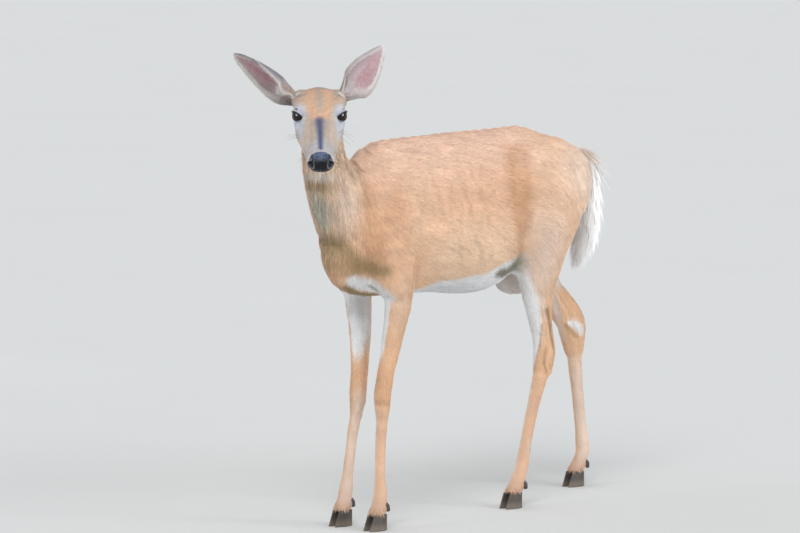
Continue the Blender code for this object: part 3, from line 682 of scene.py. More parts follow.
    def hind_white(self, points: Array, normals: Array) -> Array:
        """The white front and inner side of the thighs and gaskins, narrowing to a point above the hock."""
        out = np.abs(points[:, 0] - MIDDLE)
        z = points[:, 2]
        edge = np.interp(z, (0.28, 0.3, 0.35, 0.409, 0.468, 0.53), (0.046, 0.062, 0.08, 0.093, 0.101, 0.098))
        strip = falling(-0.004, 0.004, out - edge) * falling(-0.14, 0.06, normals[:, 1])
        inward = -normals[:, 0] * np.sign(points[:, 0] - MIDDLE)
        thigh = smoothstep(0.05, 0.45, inward) * band(0.44, 0.5, 0.6, 0.72, z)
        here = (points[:, 1] > 0.12) * band(0.275, 0.305, 0.52, 0.56, z)
        foremost = smoothstep(0.45, 0.75, normals @ np.array((-0.72, -0.69, 0.0)))
        strip = np.where(points[:, 0] < MIDDLE, strip * np.maximum(foremost, smoothstep(0.46, 0.5, z)), strip)
        return np.maximum(strip * here, thigh * (points[:, 1] > 0.12))

    def fore_white(self, points: Array, normals: Array) -> Array:
        """The white front and inner edge of the forearms, narrowing to a point above the knee."""
        z = points[:, 2]
        side = np.sign(points[:, 0] - MIDDLE)
        front = unit(vectors(-0.62 * side, -0.78, 0.0))
        facing = (normals * front).sum(1)
        least = np.interp(z, (0.335, 0.36, 0.42, 0.5), (0.99, 0.8, 0.62, 0.5))
        here = (points[:, 1] < -0.15) * band(0.33, 0.39, 0.5, 0.53, z)
        return smoothstep(least - 0.1, least + 0.1, facing) * here

    def paint(self, points: Array, normals: Array) -> Array:
        """The coat's colour at places on the skin.

        Args:
            points: The places.
            normals: The skin's directions there.

        Returns:
            Light values, one row for each place.
        """
        x, y, z = points.T
        mottle = Mottle(0.06, 3, (1, 1.6, 0.8)).at(points)
        inward = -normals[:, 0] * np.sign(x - MIDDLE)
        fore, hind = REGIONS.fore_leg(points), REGIONS.hind_leg(points)
        side = band(-0.22, -0.08, 0.1, 0.2, y) * falling(0.58, 0.72, z)
        shin = band(0.02, 0.08, 0.24, 0.32, z) * smoothstep(-0.25, 0.55, inward)
        line = (-0.24, -0.14, -0.05, 0.03, 0.09, 0.14), (0.512, 0.519, 0.525, 0.537, 0.56, 0.573)
        under = falling(-0.008, 0.008, z - np.interp(y, *line) + 0.004 * mottle) * (z > 0.44)
        belly = under * band(-0.2, -0.16, 0.14, 0.2, y)
        inner = smoothstep(0.0, 0.35, inward) * smoothstep(0.35, 0.43, z) * fore
        # Paler towards the top of the back: a painted highlight of the light from above.
        colours = blend(self.tan, self.back, smoothstep(0.7, 0.84, z))
        for colour, cover in (
            (self.flank, 0.9 * side),
            (self.haunch, smoothstep(0.18, 0.3, y)),
            (self.neck, 0.8 * REGIONS.neck(points)),
            (self.leg, 0.85 * np.maximum(fore, hind)),
            (self.cannon, falling(0.2, 0.3, z)),
            (self.pale, 0.75 * shin),
            (self.white, belly),
            (self.milk, 0.9 * inner),
            (self.white, 0.95 * self.fore_white(points, normals)),
            (self.white, 0.95 * self.hind_white(points, normals)),
        ):
            colours = blend(colours, colour, cover)
        for mark in self.trunk_marks() + self.leg_marks():
            colours = mark.over(colours, points, MIDDLE)
        colours = blend(colours, self.pastern, 0.55 * falling(0.045, 0.095, z))
        ribs = bell(y / 0.1, (z - 0.61) / 0.045)
        blotch = smoothstep(0.2, 1.4, Mottle(0.03, 13, (1, 1, 1.5)).at(points))
        colours = colours * (1 + 0.028 * mottle - 0.15 * ribs * blotch)[:, None]
        return blend(colours, self.paint_head(points), REGIONS.head(points))

    def paint_head(self, points: Array) -> Array:
        """The head's colours at frame places."""
        places = HEAD.inside(points)
        y = places[:, 1]
        mottle = Mottle(0.012, 9, (1, 1.6, 1)).at(points)
        colours = blend(self.crown, self.face, smoothstep(0.0, 0.1, y))
        colours = blend(colours, self.muzzle, 0.6 * smoothstep(0.14, 0.21, y))
        for mark in self.head_marks():
            colours = mark.over(colours, places, 0.0)
        colours = blend(colours, self.smudge, 0.6 * MOUTH.near(places))
        return colours * (1 + 0.04 * mottle)[:, None]


@dataclass(frozen=True)
class Mouth:
    """The line between the lips, on each side of the muzzle, in the head's axes.

    Attributes:
        height: Its height in front.
        rise: How steeply it rises behind the bend.
        bend: How far forward the bend is.
        back: How far forward its hind end is.
        half: Its half-breadth.
    """

    height: float = -0.0315
    rise: float = 0.05
    bend: float = 0.215
    back: float = 0.176
    half: float = 0.0026

    def near(self, places: Array) -> Array:
        """1 on the line, falling to 0 within half of its breadth above and below."""
        line = self.height + self.rise * np.clip(self.bend - places[:, 1], 0.0, 1.0)
        across = falling(0.4, 1.6, np.abs(places[:, 2] - line) / self.half)
        return across * smoothstep(self.back - 0.01, self.back + 0.012, places[:, 1])


MOUTH = Mouth()
MARKINGS = Markings()


# ---- materials


class Shade:
    """A number from a socket; arithmetic on it adds the Math nodes that work it out."""

    def __init__(self, nodes: "Finish", socket: Any) -> None:
        """Wraps a socket of a finish's node tree."""
        self.nodes, self.socket = nodes, socket

    def _math(self, operation: str, *values: Any) -> "Shade":
        """The outcome of one Math node."""
        node = self.nodes.node("ShaderNodeMath", {"operation": operation}, dict(enumerate(values)))
        return Shade(self.nodes, node.outputs[0])

    def __add__(self, other: Any) -> "Shade":
        """Sum."""
        return self._math("ADD", self, other)

    __radd__ = __add__

    def __mul__(self, other: Any) -> "Shade":
        """Product."""
        return self._math("MULTIPLY", self, other)

    __rmul__ = __mul__

    def __rsub__(self, other: Any) -> "Shade":
        """Difference from a plain number."""
        return self._math("SUBTRACT", other, self)
    def over(self, low: float, high: float) -> "Shade":
        """0 up to low, 1 from high on, and a smooth ramp between them."""
        kind = {"interpolation_type": "SMOOTHSTEP"}
        node = self.nodes.node("ShaderNodeMapRange", kind, {"Value": self, "From Min": low, "From Max": high})
        return Shade(self.nodes, node.outputs[0])


class Finish:
    """A material under construction: a Principled surface and the nodes that feed it."""

    def __init__(self, name: str, **constants: float) -> None:
        """Starts a material; constants are sockets of its surface, with _ for a space."""
        self.material = bpy.data.materials.new(name)
        self.material.use_nodes = True
        self.tree = self.material.node_tree
        self.surface = self.tree.nodes["Principled BSDF"]
        for socket, value in constants.items():
            self.surface.inputs[socket.replace("_", " ")].default_value = value

    def node(self, kind: str, settings: dict[str, Any], values: dict[Any, Any]) -> Any:
        """Adds a node.

        Args:
            kind: The node's type.
            settings: Its properties, set first.
            values: What each socket is set or linked to.

        Returns:
            The node.
        """
        node = self.tree.nodes.new(kind)
        for name, value in settings.items():
            setattr(node, name, value)
        for key, value in values.items():
            self.feed(node.inputs[key], value)
        return node

    def feed(self, socket: Any, value: Any) -> None:
        """Sets a socket to a plain value, or links it to another one."""
        if isinstance(value, Shade):
            self.tree.links.new(value.socket, socket)
        elif isinstance(value, bpy.types.NodeSocket):
            self.tree.links.new(value, socket)
        else:
            socket.default_value = value

    def places(self, scale: tuple[float, float, float] = (1.0, 1.0, 1.0)) -> Any:
        """The object's own coordinates, each axis multiplied by its scale."""
        texture = self.node("ShaderNodeTexCoord", {}, {})
        mapping = self.node("ShaderNodeMapping", {}, {"Vector": texture.outputs["Object"], "Scale": scale})
        return mapping.outputs[0]

    def noise(self, vector: Any, scale: float, detail: float = 3.0, roughness: float = 0.6) -> Shade:
        """Cloudy noise from 0 to 1."""
        values = {"Vector": vector, "Scale": scale, "Detail": detail, "Roughness": roughness}
        return Shade(self, self.node("ShaderNodeTexNoise", {}, values).outputs[0])

    def attribute(self, name: str) -> Any:
        """The colour stored on the mesh under this name."""
        return self.node("ShaderNodeAttribute", {"attribute_name": name}, {}).outputs["Color"]

    def mixed(self, amount: Any, first: Any, second: Any, how: str = "MIX") -> Any:
        """Two colours mixed, or laid on one another in another way."""
        node = self.node("ShaderNodeMix", {"data_type": "RGBA", "blend_type": how}, {0: amount})
        self.feed(node.inputs[6], first)
        self.feed(node.inputs[7], second)
        return node.outputs[2]

    def shaded(self, colour: Any, amount: Shade) -> Any:
        """A colour multiplied by a number, as a grey."""
        grey = self.node("ShaderNodeCombineColor", {}, {"Red": amount, "Green": amount, "Blue": amount})
        return self.mixed(1.0, colour, grey.outputs[0], "MULTIPLY")

    def bump(self, height: Any, strength: float, distance: float) -> None:
        """Raises and sinks the surface's shading by a height in metres times distance."""
        values = {"Height": height, "Strength": strength, "Distance": distance}
        self.feed(self.surface.inputs["Normal"], self.node("ShaderNodeBump", {}, values).outputs[0])

    def colour(self, value: Any) -> None:
        """Feeds the surface's own colour."""
        self.feed(self.surface.inputs["Base Color"], value)


@dataclass(frozen=True)
class HideFinish:
    """The skin under the coat: short dense hair in the coat's own colours."""

    name: str = "short_hair"
    grain: tuple[float, float, float] = (900.0, 260.0, 260.0)

    def make(self) -> Material:
        """Builds the material: the stored colour, darker between hairs, with hair-fine bumps."""
        finish = Finish(self.name, Roughness=0.78, Specular_IOR_Level=0.25)
        hair = finish.noise(finish.places(self.grain), 1.0, 3.0, 0.65)
        cloud = finish.noise(finish.places(), 38.0, 4.0, 0.6)
        finish.colour(finish.shaded(finish.attribute("Coat"), 0.66 + 0.28 * hair + 0.16 * cloud))
        finish.bump(hair + 0.4 * cloud, 0.5, 0.0015)
        return finish.material


@dataclass(frozen=True)
class PlainFinish:
    """A finish that shows the colour stored on the mesh, made uneven by one noise.

    Attributes:
        name: The material's name.
        surface: Constants of its surface.
        scale: How fine the noise is.
        detail: How many finer noises are laid over it.
        rough: How strong those are.
        least: Share of the colour that shows where the noise is 0.
        more: What is added to that share where it is 1.
        bump: Strength and distance of the bumps that it gives, if any.
    """

    name: str
    surface: dict[str, float]
    scale: float
    detail: float
    rough: float
    least: float
    more: float
    bump: tuple[float, float] | None = None

    def make(self) -> Material:
        """Builds the material."""
        finish = Finish(self.name, **self.surface)
        noise = finish.noise(finish.places(), self.scale, self.detail, self.rough)
        finish.colour(finish.shaded(finish.attribute("Coat"), self.least + self.more * noise))
        if self.bump:
            finish.bump(noise, *self.bump)
        return finish.material


# Tufts have a soft gloss, the eyeballs are wet, and the ears' leather has fine veins.
TUFT_FINISH = PlainFinish(
    "coat_hair", {"Roughness": 0.55, "Specular_IOR_Level": 0.3, "Sheen_Weight": 0.12, "Sheen_Roughness": 0.5},
    scale=420.0, detail=2.0, rough=0.6, least=0.93, more=0.14,
)
EYE_FINISH = PlainFinish(
    "eye_ball", {"Roughness": 0.1, "Specular_IOR_Level": 0.3, "Coat_Weight": 0.06, "Coat_Roughness": 0.03},
    scale=900.0, detail=2.0, rough=0.6, least=0.75, more=0.5,
)
EAR_FINISH = PlainFinish(
    "ear_leather", {"Roughness": 0.62, "Specular_IOR_Level": 0.3},
    scale=190.0, detail=5.0, rough=0.7, least=0.78, more=0.4, bump=(0.4, 0.001),
)


@dataclass(frozen=True)
class NoseFinish:
    """The bare nose: dark, wet and pebbled."""

    name: str = "nose_leather"

    def make(self) -> Material:
        """Builds the material: the stored colour, uneven from pebble to pebble, under a thin wet layer."""
        finish = Finish(self.name, Specular_IOR_Level=0.28, Coat_Weight=0.1, Coat_Roughness=0.18)
        pebbles = finish.node("ShaderNodeTexVoronoi", {}, {"Vector": finish.places(), "Scale": 620.0})
        cell = Shade(finish, pebbles.outputs["Distance"])
        cloud = finish.noise(finish.places(), 60.0)
        finish.colour(finish.shaded(finish.attribute("Coat"), 0.75 + 0.35 * cloud + 0.25 * cell))
        finish.feed(finish.surface.inputs["Roughness"], 0.26 + 0.18 * cloud)
        finish.bump(1.0 - cell, 0.5, 0.0007)
        return finish.material


@dataclass(frozen=True)
class HornFinish:
    """Hooves and dewclaws: dark brown-grey horn with fine growth rings, paler at the sole."""

    name: str = "horn"

    def make(self) -> Material:
        """Builds the material: rings by height, streaks down the wall, dust low down."""
        finish = Finish(self.name, Specular_IOR_Level=0.45)
        streak = finish.noise(finish.places((420.0, 420.0, 60.0)), 1.0, 3.0)
        ring = finish.noise(finish.places((20.0, 20.0, 650.0)), 1.0, 2.0)
        split = finish.node("ShaderNodeSeparateXYZ", {}, {"Vector": finish.places()})
        height = Shade(finish, split.outputs["Z"])
        dust = (1.0 - height.over(0.004, 0.022)) * (0.4 + 0.6 * streak)
        dark = finish.shaded((0.06, 0.048, 0.04, 1.0), 0.6 + 0.9 * streak + 0.3 * ring)
        finish.colour(finish.mixed(0.55 * dust, dark, (0.3, 0.25, 0.19, 1.0)))
        finish.feed(finish.surface.inputs["Roughness"], 0.38 + 0.25 * dust + 0.1 * ring)
        finish.bump(ring + 0.5 * streak, 0.35, 0.0008)
        return finish.material


# ---- tufts of hair

TAPER = 0.6  # power by which a blade's breadth falls towards its tip
ROOT_SHADE, TIP_SHADE = 0.8, 1.12  # its root's and its tip's lightness, as shares of its own
SPOT_LENGTH, SPOT_BREADTH = 0.003, 0.0015  # its size on the flat map


@dataclass
class Tufts:
    """A batch of hair tufts: narrow tapering blades that leave the skin and lie back along it.

    Attributes:
        roots: Where each tuft leaves the skin.
        normals: The skin's direction there.
        lie: The way the hair lies, along the skin.
        length: Length of each tuft.
        width: Breadth of each tuft at its root.
        lift: Height of its tip over the skin, as a share of its length.
        colours: Colour at the root.
        places: The root's place on the skin's flat map.
        droop: How far the tip sinks under its own weight, as a share of its length.
        tips: Colour at the tip, or None for a paler shade of the root's.
    """

    roots: Array
    normals: Array
    lie: Array
    length: Array
    width: Array
    lift: Array
    colours: Array
    places: Array
    droop: Array | float = 0.0
    tips: Array | None = None

    def piece(self, name: str, segments: int, slot: str, material: Material) -> Piece:
        """Makes the tufts as one piece.

        Each blade's middle line is root + lie * L t + normal * lift L (2t - t^2), less
        droop L t^2 of height, and its breadth falls as (1 - t)^0.6 to nothing at the tip.

        Args:
            name: The piece's name.
            segments: How many lengths a blade has.
            slot: The record's material slot; not used.
            material: Its finish.

        Returns:
            The piece.
        """
        count = len(self.roots)
        side = unit(np.cross(self.normals, self.lie))
        rows, shades, map_rows = [], [], []
        tips = self.colours * TIP_SHADE if self.tips is None else self.tips
        for k in range(segments + 1):
            t = k / segments
            breadth = (1 - t) ** TAPER
            middle = self.roots + self.lie * (self.length * t)[:, None]
            middle = middle + self.normals * (self.lift * self.length * (2 * t - t * t))[:, None]
            middle[:, 2] -= self.droop * self.length * t * t
            half = 0.5 * self.width * breadth
            shade = blend(self.colours * ROOT_SHADE, tips, np.full(count, t))
            spot = self.places + np.array((0.0, SPOT_LENGTH * (t - 0.5)))
            spread = np.array((SPOT_BREADTH * breadth, 0.0))
            for sign in (-1.0, 1.0) if k < segments else (0.0,):
                rows.append(middle + side * (sign * half)[:, None])
                shades.append(shade)
                map_rows.append(spot + sign * spread)
        points = np.stack(rows, 1)
        per = points.shape[1]
        pattern = [face for a in range(0, per - 3, 2) for face in ((a, a + 2, a + 3), (a, a + 3, a + 1))]
        pattern = np.array([*pattern, (per - 3, per - 1, per - 2)])
        triangles = (pattern[None] + np.arange(count)[:, None, None] * per).reshape(-1, 3)
        made = new_piece(name, points.reshape(-1, 3), triangles, material)
        put_colours(made, np.stack(shades, 1).reshape(-1, 3))
        put_map(made, np.stack(map_rows, 1).reshape(-1, 2)[triangles.ravel()])
        return made


@dataclass
class Hide:
    """A triangulated surface that tufts grow on.

    Attributes:
        points: Its points.
        triangles: Its faces.
        normals: Its direction at each point.
        corner_places: Flat-map place of each face's corners.
    """

    points: Array
    triangles: Array
    normals: Array
    corner_places: Array

    def scatter(self, density: Array, count: int, rng: Chance) -> tuple[Array, Array, Array]:
        """Random places on the surface.

        Args:
            density: How thickly each triangle is covered, per area.
            count: How many places.
            rng: The source of chance.

        Returns:
            Places, surface directions and flat-map places.
        """
        a, b, c = (self.points[self.triangles[:, i]] for i in range(3))
        area = 0.5 * np.linalg.norm(np.cross(b - a, c - a), axis=1)
        total = np.cumsum(area * density)
        chosen = np.searchsorted(total, rng.random(count) * total[-1]).clip(0, len(total) - 1)
        first, second = np.sqrt(rng.random(count)), rng.random(count)
        shares = np.stack([1 - first, first * (1 - second), first * second], 1)[..., None]
        corners = self.triangles[chosen]
        places = (self.points[corners] * shares).sum(1)
        normals = unit((self.normals[corners] * shares).sum(1))
        return places, normals, (self.corner_places[chosen] * shares).sum(1)


def swung(directions: Array, normals: Array, angles: Array) -> Array:
    """Directions along a surface, each turned in the surface by its own angle."""
    across = np.cross(normals, directions)
    return directions * np.cos(angles)[:, None] + across * np.sin(angles)[:, None]


# ---- eyes


@dataclass(frozen=True)
class Eye:
    """One eye: the ball, and the lids round its almond opening, in the head's axes.

    Attributes:
        side: Which eye.
        radius: The ball's radius.
        centre: Its middle: across, forward, up.
        long: Half-angle of the opening along its length.
        short: Half-angle across it.
        short: Half-angle across it.
        drawn: Share by which it is drawn out at its two corners.
        mound: How high over the ball the skin round the opening stands.
        sunk: How deep behind the ball's surface the skin is inside the opening.
        reach: How far from the ball's surface the skin is moulded and bare.
    """

    side: Side
    radius: float = 0.0165
    centre: tuple[float, float, float] = (0.0445, 0.093, 0.0115)
    long: float = math.radians(54.0)
    short: float = math.radians(31.5)
    drawn: float = 0.1
    mound: float = 0.0012
    sunk: float = 0.0025
    reach: float = 0.012

    @property
    def middle(self) -> Array:
        """The ball's centre."""
        return np.array((self.side.value * self.centre[0], self.centre[1], self.centre[2]))

    @property
    def axes(self) -> Array:
        """Rows: along the opening towards the nose, across it upwards, and out of the head."""
        out = unit(np.array((self.side.value * 0.74, 0.66, 0.16)))
        along = np.array((-self.side.value * 0.67, 0.725, 0.12))
        along = unit(along - out * along.dot(out))
        up = np.cross(out, along)
        return np.stack([along, up if up[2] > 0 else -up, out])

    def edge(self, theta: Array) -> Array:
        """Half-angle of the opening in each direction round it: an ellipse drawn out at both corners."""
        plain = 1 / np.sqrt((np.cos(theta) / self.long) ** 2 + (np.sin(theta) / self.short) ** 2)
        return plain * (1 + self.drawn * np.cos(theta) ** 8)

    def on_ball(self, theta: Array, angle: Array, radius: Array | float) -> Array:
        """Places round the eye's centre.

        Args:
            theta: Direction round the opening.
            angle: Angle from its axis.
            radius: Distance from the centre.

        Returns:
            Places in the head's axes.
        """
        along, up, out = self.axes
        aside = np.cos(theta)[..., None] * along + np.sin(theta)[..., None] * up
        ways = np.sin(angle)[..., None] * aside + np.cos(angle)[..., None] * out
        return self.middle + ways * np.asarray(radius)[..., None]

    def around(self, places: Array) -> tuple[Array, Array, Array]:
        """From the ball's centre to each place: the way, how far, and the angle past the opening's edge."""
        away = places - self.middle
        far = np.linalg.norm(away, axis=1)
        along, up, out = (away @ axis for axis in self.axes)
        angle = np.arccos(np.clip(out / np.maximum(far, 1e-9), -1, 1))
        return away, far, angle - self.edge(np.arctan2(up, along))

    def press(self, places: Array) -> Array:
        """Skin places near the eye, sunk behind the ball inside the opening and rounded over it outside."""
        away, far, past = self.around(places)
        mound = self.radius + self.mound
        near = fading(24, 52, past) * (far < self.radius + self.reach)
        near = np.maximum(near, fading(40, 78, past) * (far < mound))
        target = mound + (self.radius - self.sunk - mound) * fading(12, 20, past)
        return self.middle + away * ((far + (target - far) * near) / np.maximum(far, 1e-9))[:, None]

    def brim(self, places: Array) -> Array:
        """1 on the skin that turns in behind the lids, and 0 on the lids and away from the eye."""
        _, far, past = self.around(places)
        close = falling(self.radius + 0.003, self.radius + 0.011, far)
        return close * smoothstep(math.radians(30), math.radians(44), past)

    def openness(self, places: Array) -> Array:
        """1 over the opening and its lids, where no hair grows, and 0 away from them."""
        _, far, past = self.around(places)
        return fading(10, 16, past) * (far < self.radius + self.reach)

    def make_ball(self, material: Material) -> Piece:
        """The ball, its clear front a little proud, coloured round its axis, with a painted glint."""
        rows, columns = 65, 72
        pupil_long, pupil_short = 0.52, 0.3
        angle, theta = np.meshgrid(np.linspace(0.0, np.pi, rows), circle(columns), indexing="ij")
        radius = self.radius - 0.0006 + 0.0008 * falling(0.45, 0.75, angle)
        radius = radius - 0.0075 * smoothstep(0.98, 1.25, angle)
        places = self.on_ball(theta, np.clip(angle, 1e-3, np.pi - 1e-3), radius)
        off = np.sin(angle)
        wide = np.hypot(off * np.cos(theta) / pupil_long, off * np.sin(theta) / pupil_short)
        iris = blend(tone(8, 6, 7), tone(40, 26, 19), smoothstep(0.85, 1.15, wide))
        colours = blend(iris, tone(26, 18, 14), smoothstep(0.62, 0.8, angle))
        shine = unit(np.array((self.side.value * 0.477, 0.763, 0.433)))
        aside = np.arccos(np.clip(unit(places - self.middle) @ shine, -1, 1))
        colours = blend(colours, tone(176, 188, 210), 0.85 * falling(0.07, 0.19, aside))
        faces = grid_faces(rows, columns, True)
        faces = faces if self.side is Side.LEFT else faces[:, ::-1]
        points = HEAD.outside(places.reshape(-1, 3))
        ball = closed_grid(f"eyeball_{self.side.name.lower()}", points, faces, columns, material)
        put_colours(ball, np.concatenate([colours.reshape(-1, 3), colours[[0, -1], 0]]))
        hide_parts(f"eye_{self.side.name.lower()}")
        return ball

    def make_lids(self, material: Material) -> Piece:
        """The lids: a closed ring whose section rises from the ball, rounds over and sinks under the skin."""
        section = np.radians((0.0, 1.5, 6.0, 13.0, 21.0, 28.0, 16.0, 5.0))
        heights = np.array((0.0001, 0.0013, 0.0021, 0.0022, 0.001, -0.002, -0.0022, -0.0014))
        rows, columns, heavier = len(section), 56, 0.35
        past, theta = np.meshgrid(section, circle(columns), indexing="ij")
        upper = 1 + heavier * np.clip(np.sin(theta), 0, 1)
        radius = self.radius + heights[:, None] * np.where(heights[:, None] > 0, upper, 1.0)
        places = self.on_ball(theta, self.edge(theta) + past, radius)
        faces = grid_faces(rows + 1, columns, True) % (rows * columns)
        faces = faces[:, ::-1] if self.side is Side.LEFT else faces
        name = f"eyelids_{self.side.name.lower()}"
        lids = new_piece(name, HEAD.outside(places.reshape(-1, 3)), faces, material)
        pale = smoothstep(math.radians(3), math.radians(9), past)
        put_colours(lids, blend(tone(38, 30, 28), tone(192, 194, 202), pale.reshape(-1)))
        return lids

    def lashes(self, rng: Chance) -> Tufts:
        """Dark lashes along the upper lid, leaving it outwards and bending down."""
        count = 30
        theta = np.linspace(math.radians(15), math.radians(165), count)
        edge, out = self.edge(theta), self.axes[2]
        roots = self.on_ball(theta, edge + math.radians(4), self.radius + 0.0022)
        ways = unit(self.on_ball(theta, edge + math.radians(16), self.radius + 0.009) - roots)
        normals = unit(out + 0.2 * rng.normal(size=(count, 3)))
        lie = HEAD.turned(unit(ways + 0.7 * out + 0.15 * rng.normal(size=(count, 3))))
        dark = np.tile(tone(34, 28, 26), (count, 1))
        length, flat = rng.uniform(0.003, 0.006, count), rng.uniform(0.05, 0.95, (count, 2))
        return Tufts(
            HEAD.outside(roots), HEAD.turned(normals), lie, length,
            np.full(count, 0.0005), np.zeros(count), dark, flat, droop=0.25, tips=dark,
        )


def closed_grid(
    name: str, points: Array, faces: Array, columns: int, material: Material
) -> Piece:
    """A piece from a grid that closes round, with a fan of triangles over its first and last rows."""
    ends = np.stack([points[:columns].mean(0), points[-columns:].mean(0)])
    ring = np.arange(columns)
    fans = [
        np.stack([np.full(columns, len(points) + end), ring + start, (ring + 1) % columns + start], 1)
        for end, start in enumerate((0, len(points) - columns))
    ]
    mesh = bpy.data.meshes.new(name)
    places = STANCE.outside(np.concatenate([points, ends]))
    mesh.from_pydata(places.tolist(), [], faces.tolist() + np.concatenate(fans).tolist())
    shape = bmesh.new()
    shape.from_mesh(mesh)
    bmesh.ops.recalc_face_normals(shape, faces=shape.faces)
    shape.to_mesh(mesh)
    shape.free()
    return placed(name, mesh, material)


EYES = (Eye(Side.LEFT), Eye(Side.RIGHT))


# ---- skin


@dataclass(frozen=True)
class Seam:
    """A soft groove, or a ridge, along a line on her side.

    Attributes:
        heights: Heights at which the line's place is given.
        line: How far back it runs at each of them.
        half: Its half-breadth.
        depth: Its height over the skin, negative for a groove.
        span: Where it starts and is full, and where it ends to be full and ends.
    """

    heights: tuple[float, ...]
    line: tuple[float, ...]
    half: float
    depth: float
    span: tuple[float, float, float, float]

    def at(self, y: Array, z: Array) -> Array:
        """Its height at places this far back and this high: a bell across the line, faded at both ends."""
        across = bell((y - np.interp(z, self.heights, self.line)) / self.half)
        return self.depth * across * band(*self.span, z)


@dataclass(frozen=True)
class Relief:
    """The small forms that show through her short coat, worked into the skin.

    Attributes:
        rib_pitch: From one rib to the next.
        rib_height: How far a rib stands out.
    """

    rib_pitch: float = 0.043
    rib_height: float = 0.0013

    def body(self, points: Array) -> Array:
        """Heights of the body's relief over the plain skin.

        The ribs are a rounded wave that slants back as it goes down. The seams are, in turn,
        the flank's fold, the shoulder blade's ridge, the groove before the shoulder, the
        haunch's groove, and on each hind leg the groove between shin bone and tendon. Then
        come the flank's hollow, the vertebrae, the throat, the chest and the withers.
        """
        x, y, z = points.T
        out = np.abs(x - MIDDLE)
        flank, haunch = out > 0.03, out > 0.04
        left, right = (x > MIDDLE) & (y > 0.15), (x < MIDDLE) & (y > 0.38)
        phase = (y + 0.087 + 0.19 * (z - 0.79)) / self.rib_pitch
        wave = np.cos(2 * np.pi * phase) + 0.25 * np.cos(4 * np.pi * phase)
        cage = band(-0.15, -0.09, 0.02, 0.08, y) * band(0.62, 0.71, 0.78, 0.82, z)
        height = self.rib_height * wave * cage * (1 + 0.5 * Mottle(0.09, 41).at(points))
        for seam, where in (
            (Seam((0.58, 0.655, 0.713, 0.78, 0.84), (0.17, 0.142, 0.142, 0.164, 0.186),
                  0.025, -0.006, (0.57, 0.64, 0.8, 0.86)), flank),
            (Seam((0.62, 0.72, 0.8), (-0.17, -0.205, -0.245),
                  0.014, 0.0028, (0.62, 0.68, 0.79, 0.83)), flank),
            (Seam((0.6, 0.7, 0.79), (-0.255, -0.3, -0.3),
                  0.016, -0.0045, (0.58, 0.64, 0.77, 0.82)), flank),
            (Seam((0.52, 0.62, 0.75), (0.405, 0.385, 0.35),
                  0.013, -0.0035, (0.52, 0.6, 0.74, 0.8)), haunch),
            (Seam((0.29, 0.345, 0.389, 0.44, 0.48), (0.262, 0.272, 0.262, 0.24, 0.225),
                  0.006, -0.0026, (0.285, 0.31, 0.45, 0.49)), left),
            (Seam((0.31, 0.35, 0.4, 0.45, 0.49), (0.53, 0.52, 0.492, 0.452, 0.425),
                  0.007, -0.003, (0.31, 0.33, 0.46, 0.5)), right),
        ):
            height += seam.at(y, z) * where
        height -= 0.006 * bell((y - 0.112) / 0.04, (z - 0.76) / 0.045) * flank
        height += 0.0008 * bell(out / 0.014) * smoothstep(0.8, 0.84, z) * np.cos(2 * np.pi * y / 0.034)
        height += 0.0115 * bell((z - 0.615) / 0.055, out / 0.06) * (y < -0.25)
        height += 0.0025 * bell((z - 0.7) / 0.06, out / 0.05) * (y < -0.33)
        return height + 0.004 * smoothstep(0.76, 0.82, z) * band(-0.3, -0.22, -0.05, 0.16, y)

    def head(self, places: Array) -> Array:
        """Heights of the head's relief over the plain skin.

        In turn: the lips' line, the tear groove, the nose bridge's edges, the forehead's
        hollow, the jaw's muscle and the bumps in front of the ears.
        """
        x, y, z = places.T
        out, top = np.abs(x), z > 0
        height = -0.0022 * MOUTH.near(places) * (z < -0.02)
        height -= 0.002 * bell((y - 0.122) / 0.009, (z + 0.001) / 0.004) * (out > 0.025)
        height += 0.001 * bell((out - 0.017) / 0.006) * top * band(0.12, 0.15, 0.21, 0.24, y)
        height -= 0.0012 * bell(x / 0.01) * top * band(0.02, 0.05, 0.09, 0.12, y)
        height += 0.004 * bell((out - 0.037) / 0.02, (y - 0.165) / 0.045, (z + 0.028) / 0.03)
        height += 0.0045 * bell((out - 0.034) / 0.016, (y - 0.01) / 0.022, (z - 0.022) / 0.02)
        return height


NOSE_MIDDLE = np.array((0.0, 0.281, -0.006))  # the bare nose's middle, in the head's axes
NOSE_REACH = np.array((0.0325, 0.039, 0.027))  # half of its size along them


def from_nose(places: Array) -> Array:
    """How far each place is from the bare nose's middle, in the nose's reaches."""
    return np.linalg.norm((places - NOSE_MIDDLE) / NOSE_REACH, axis=1)


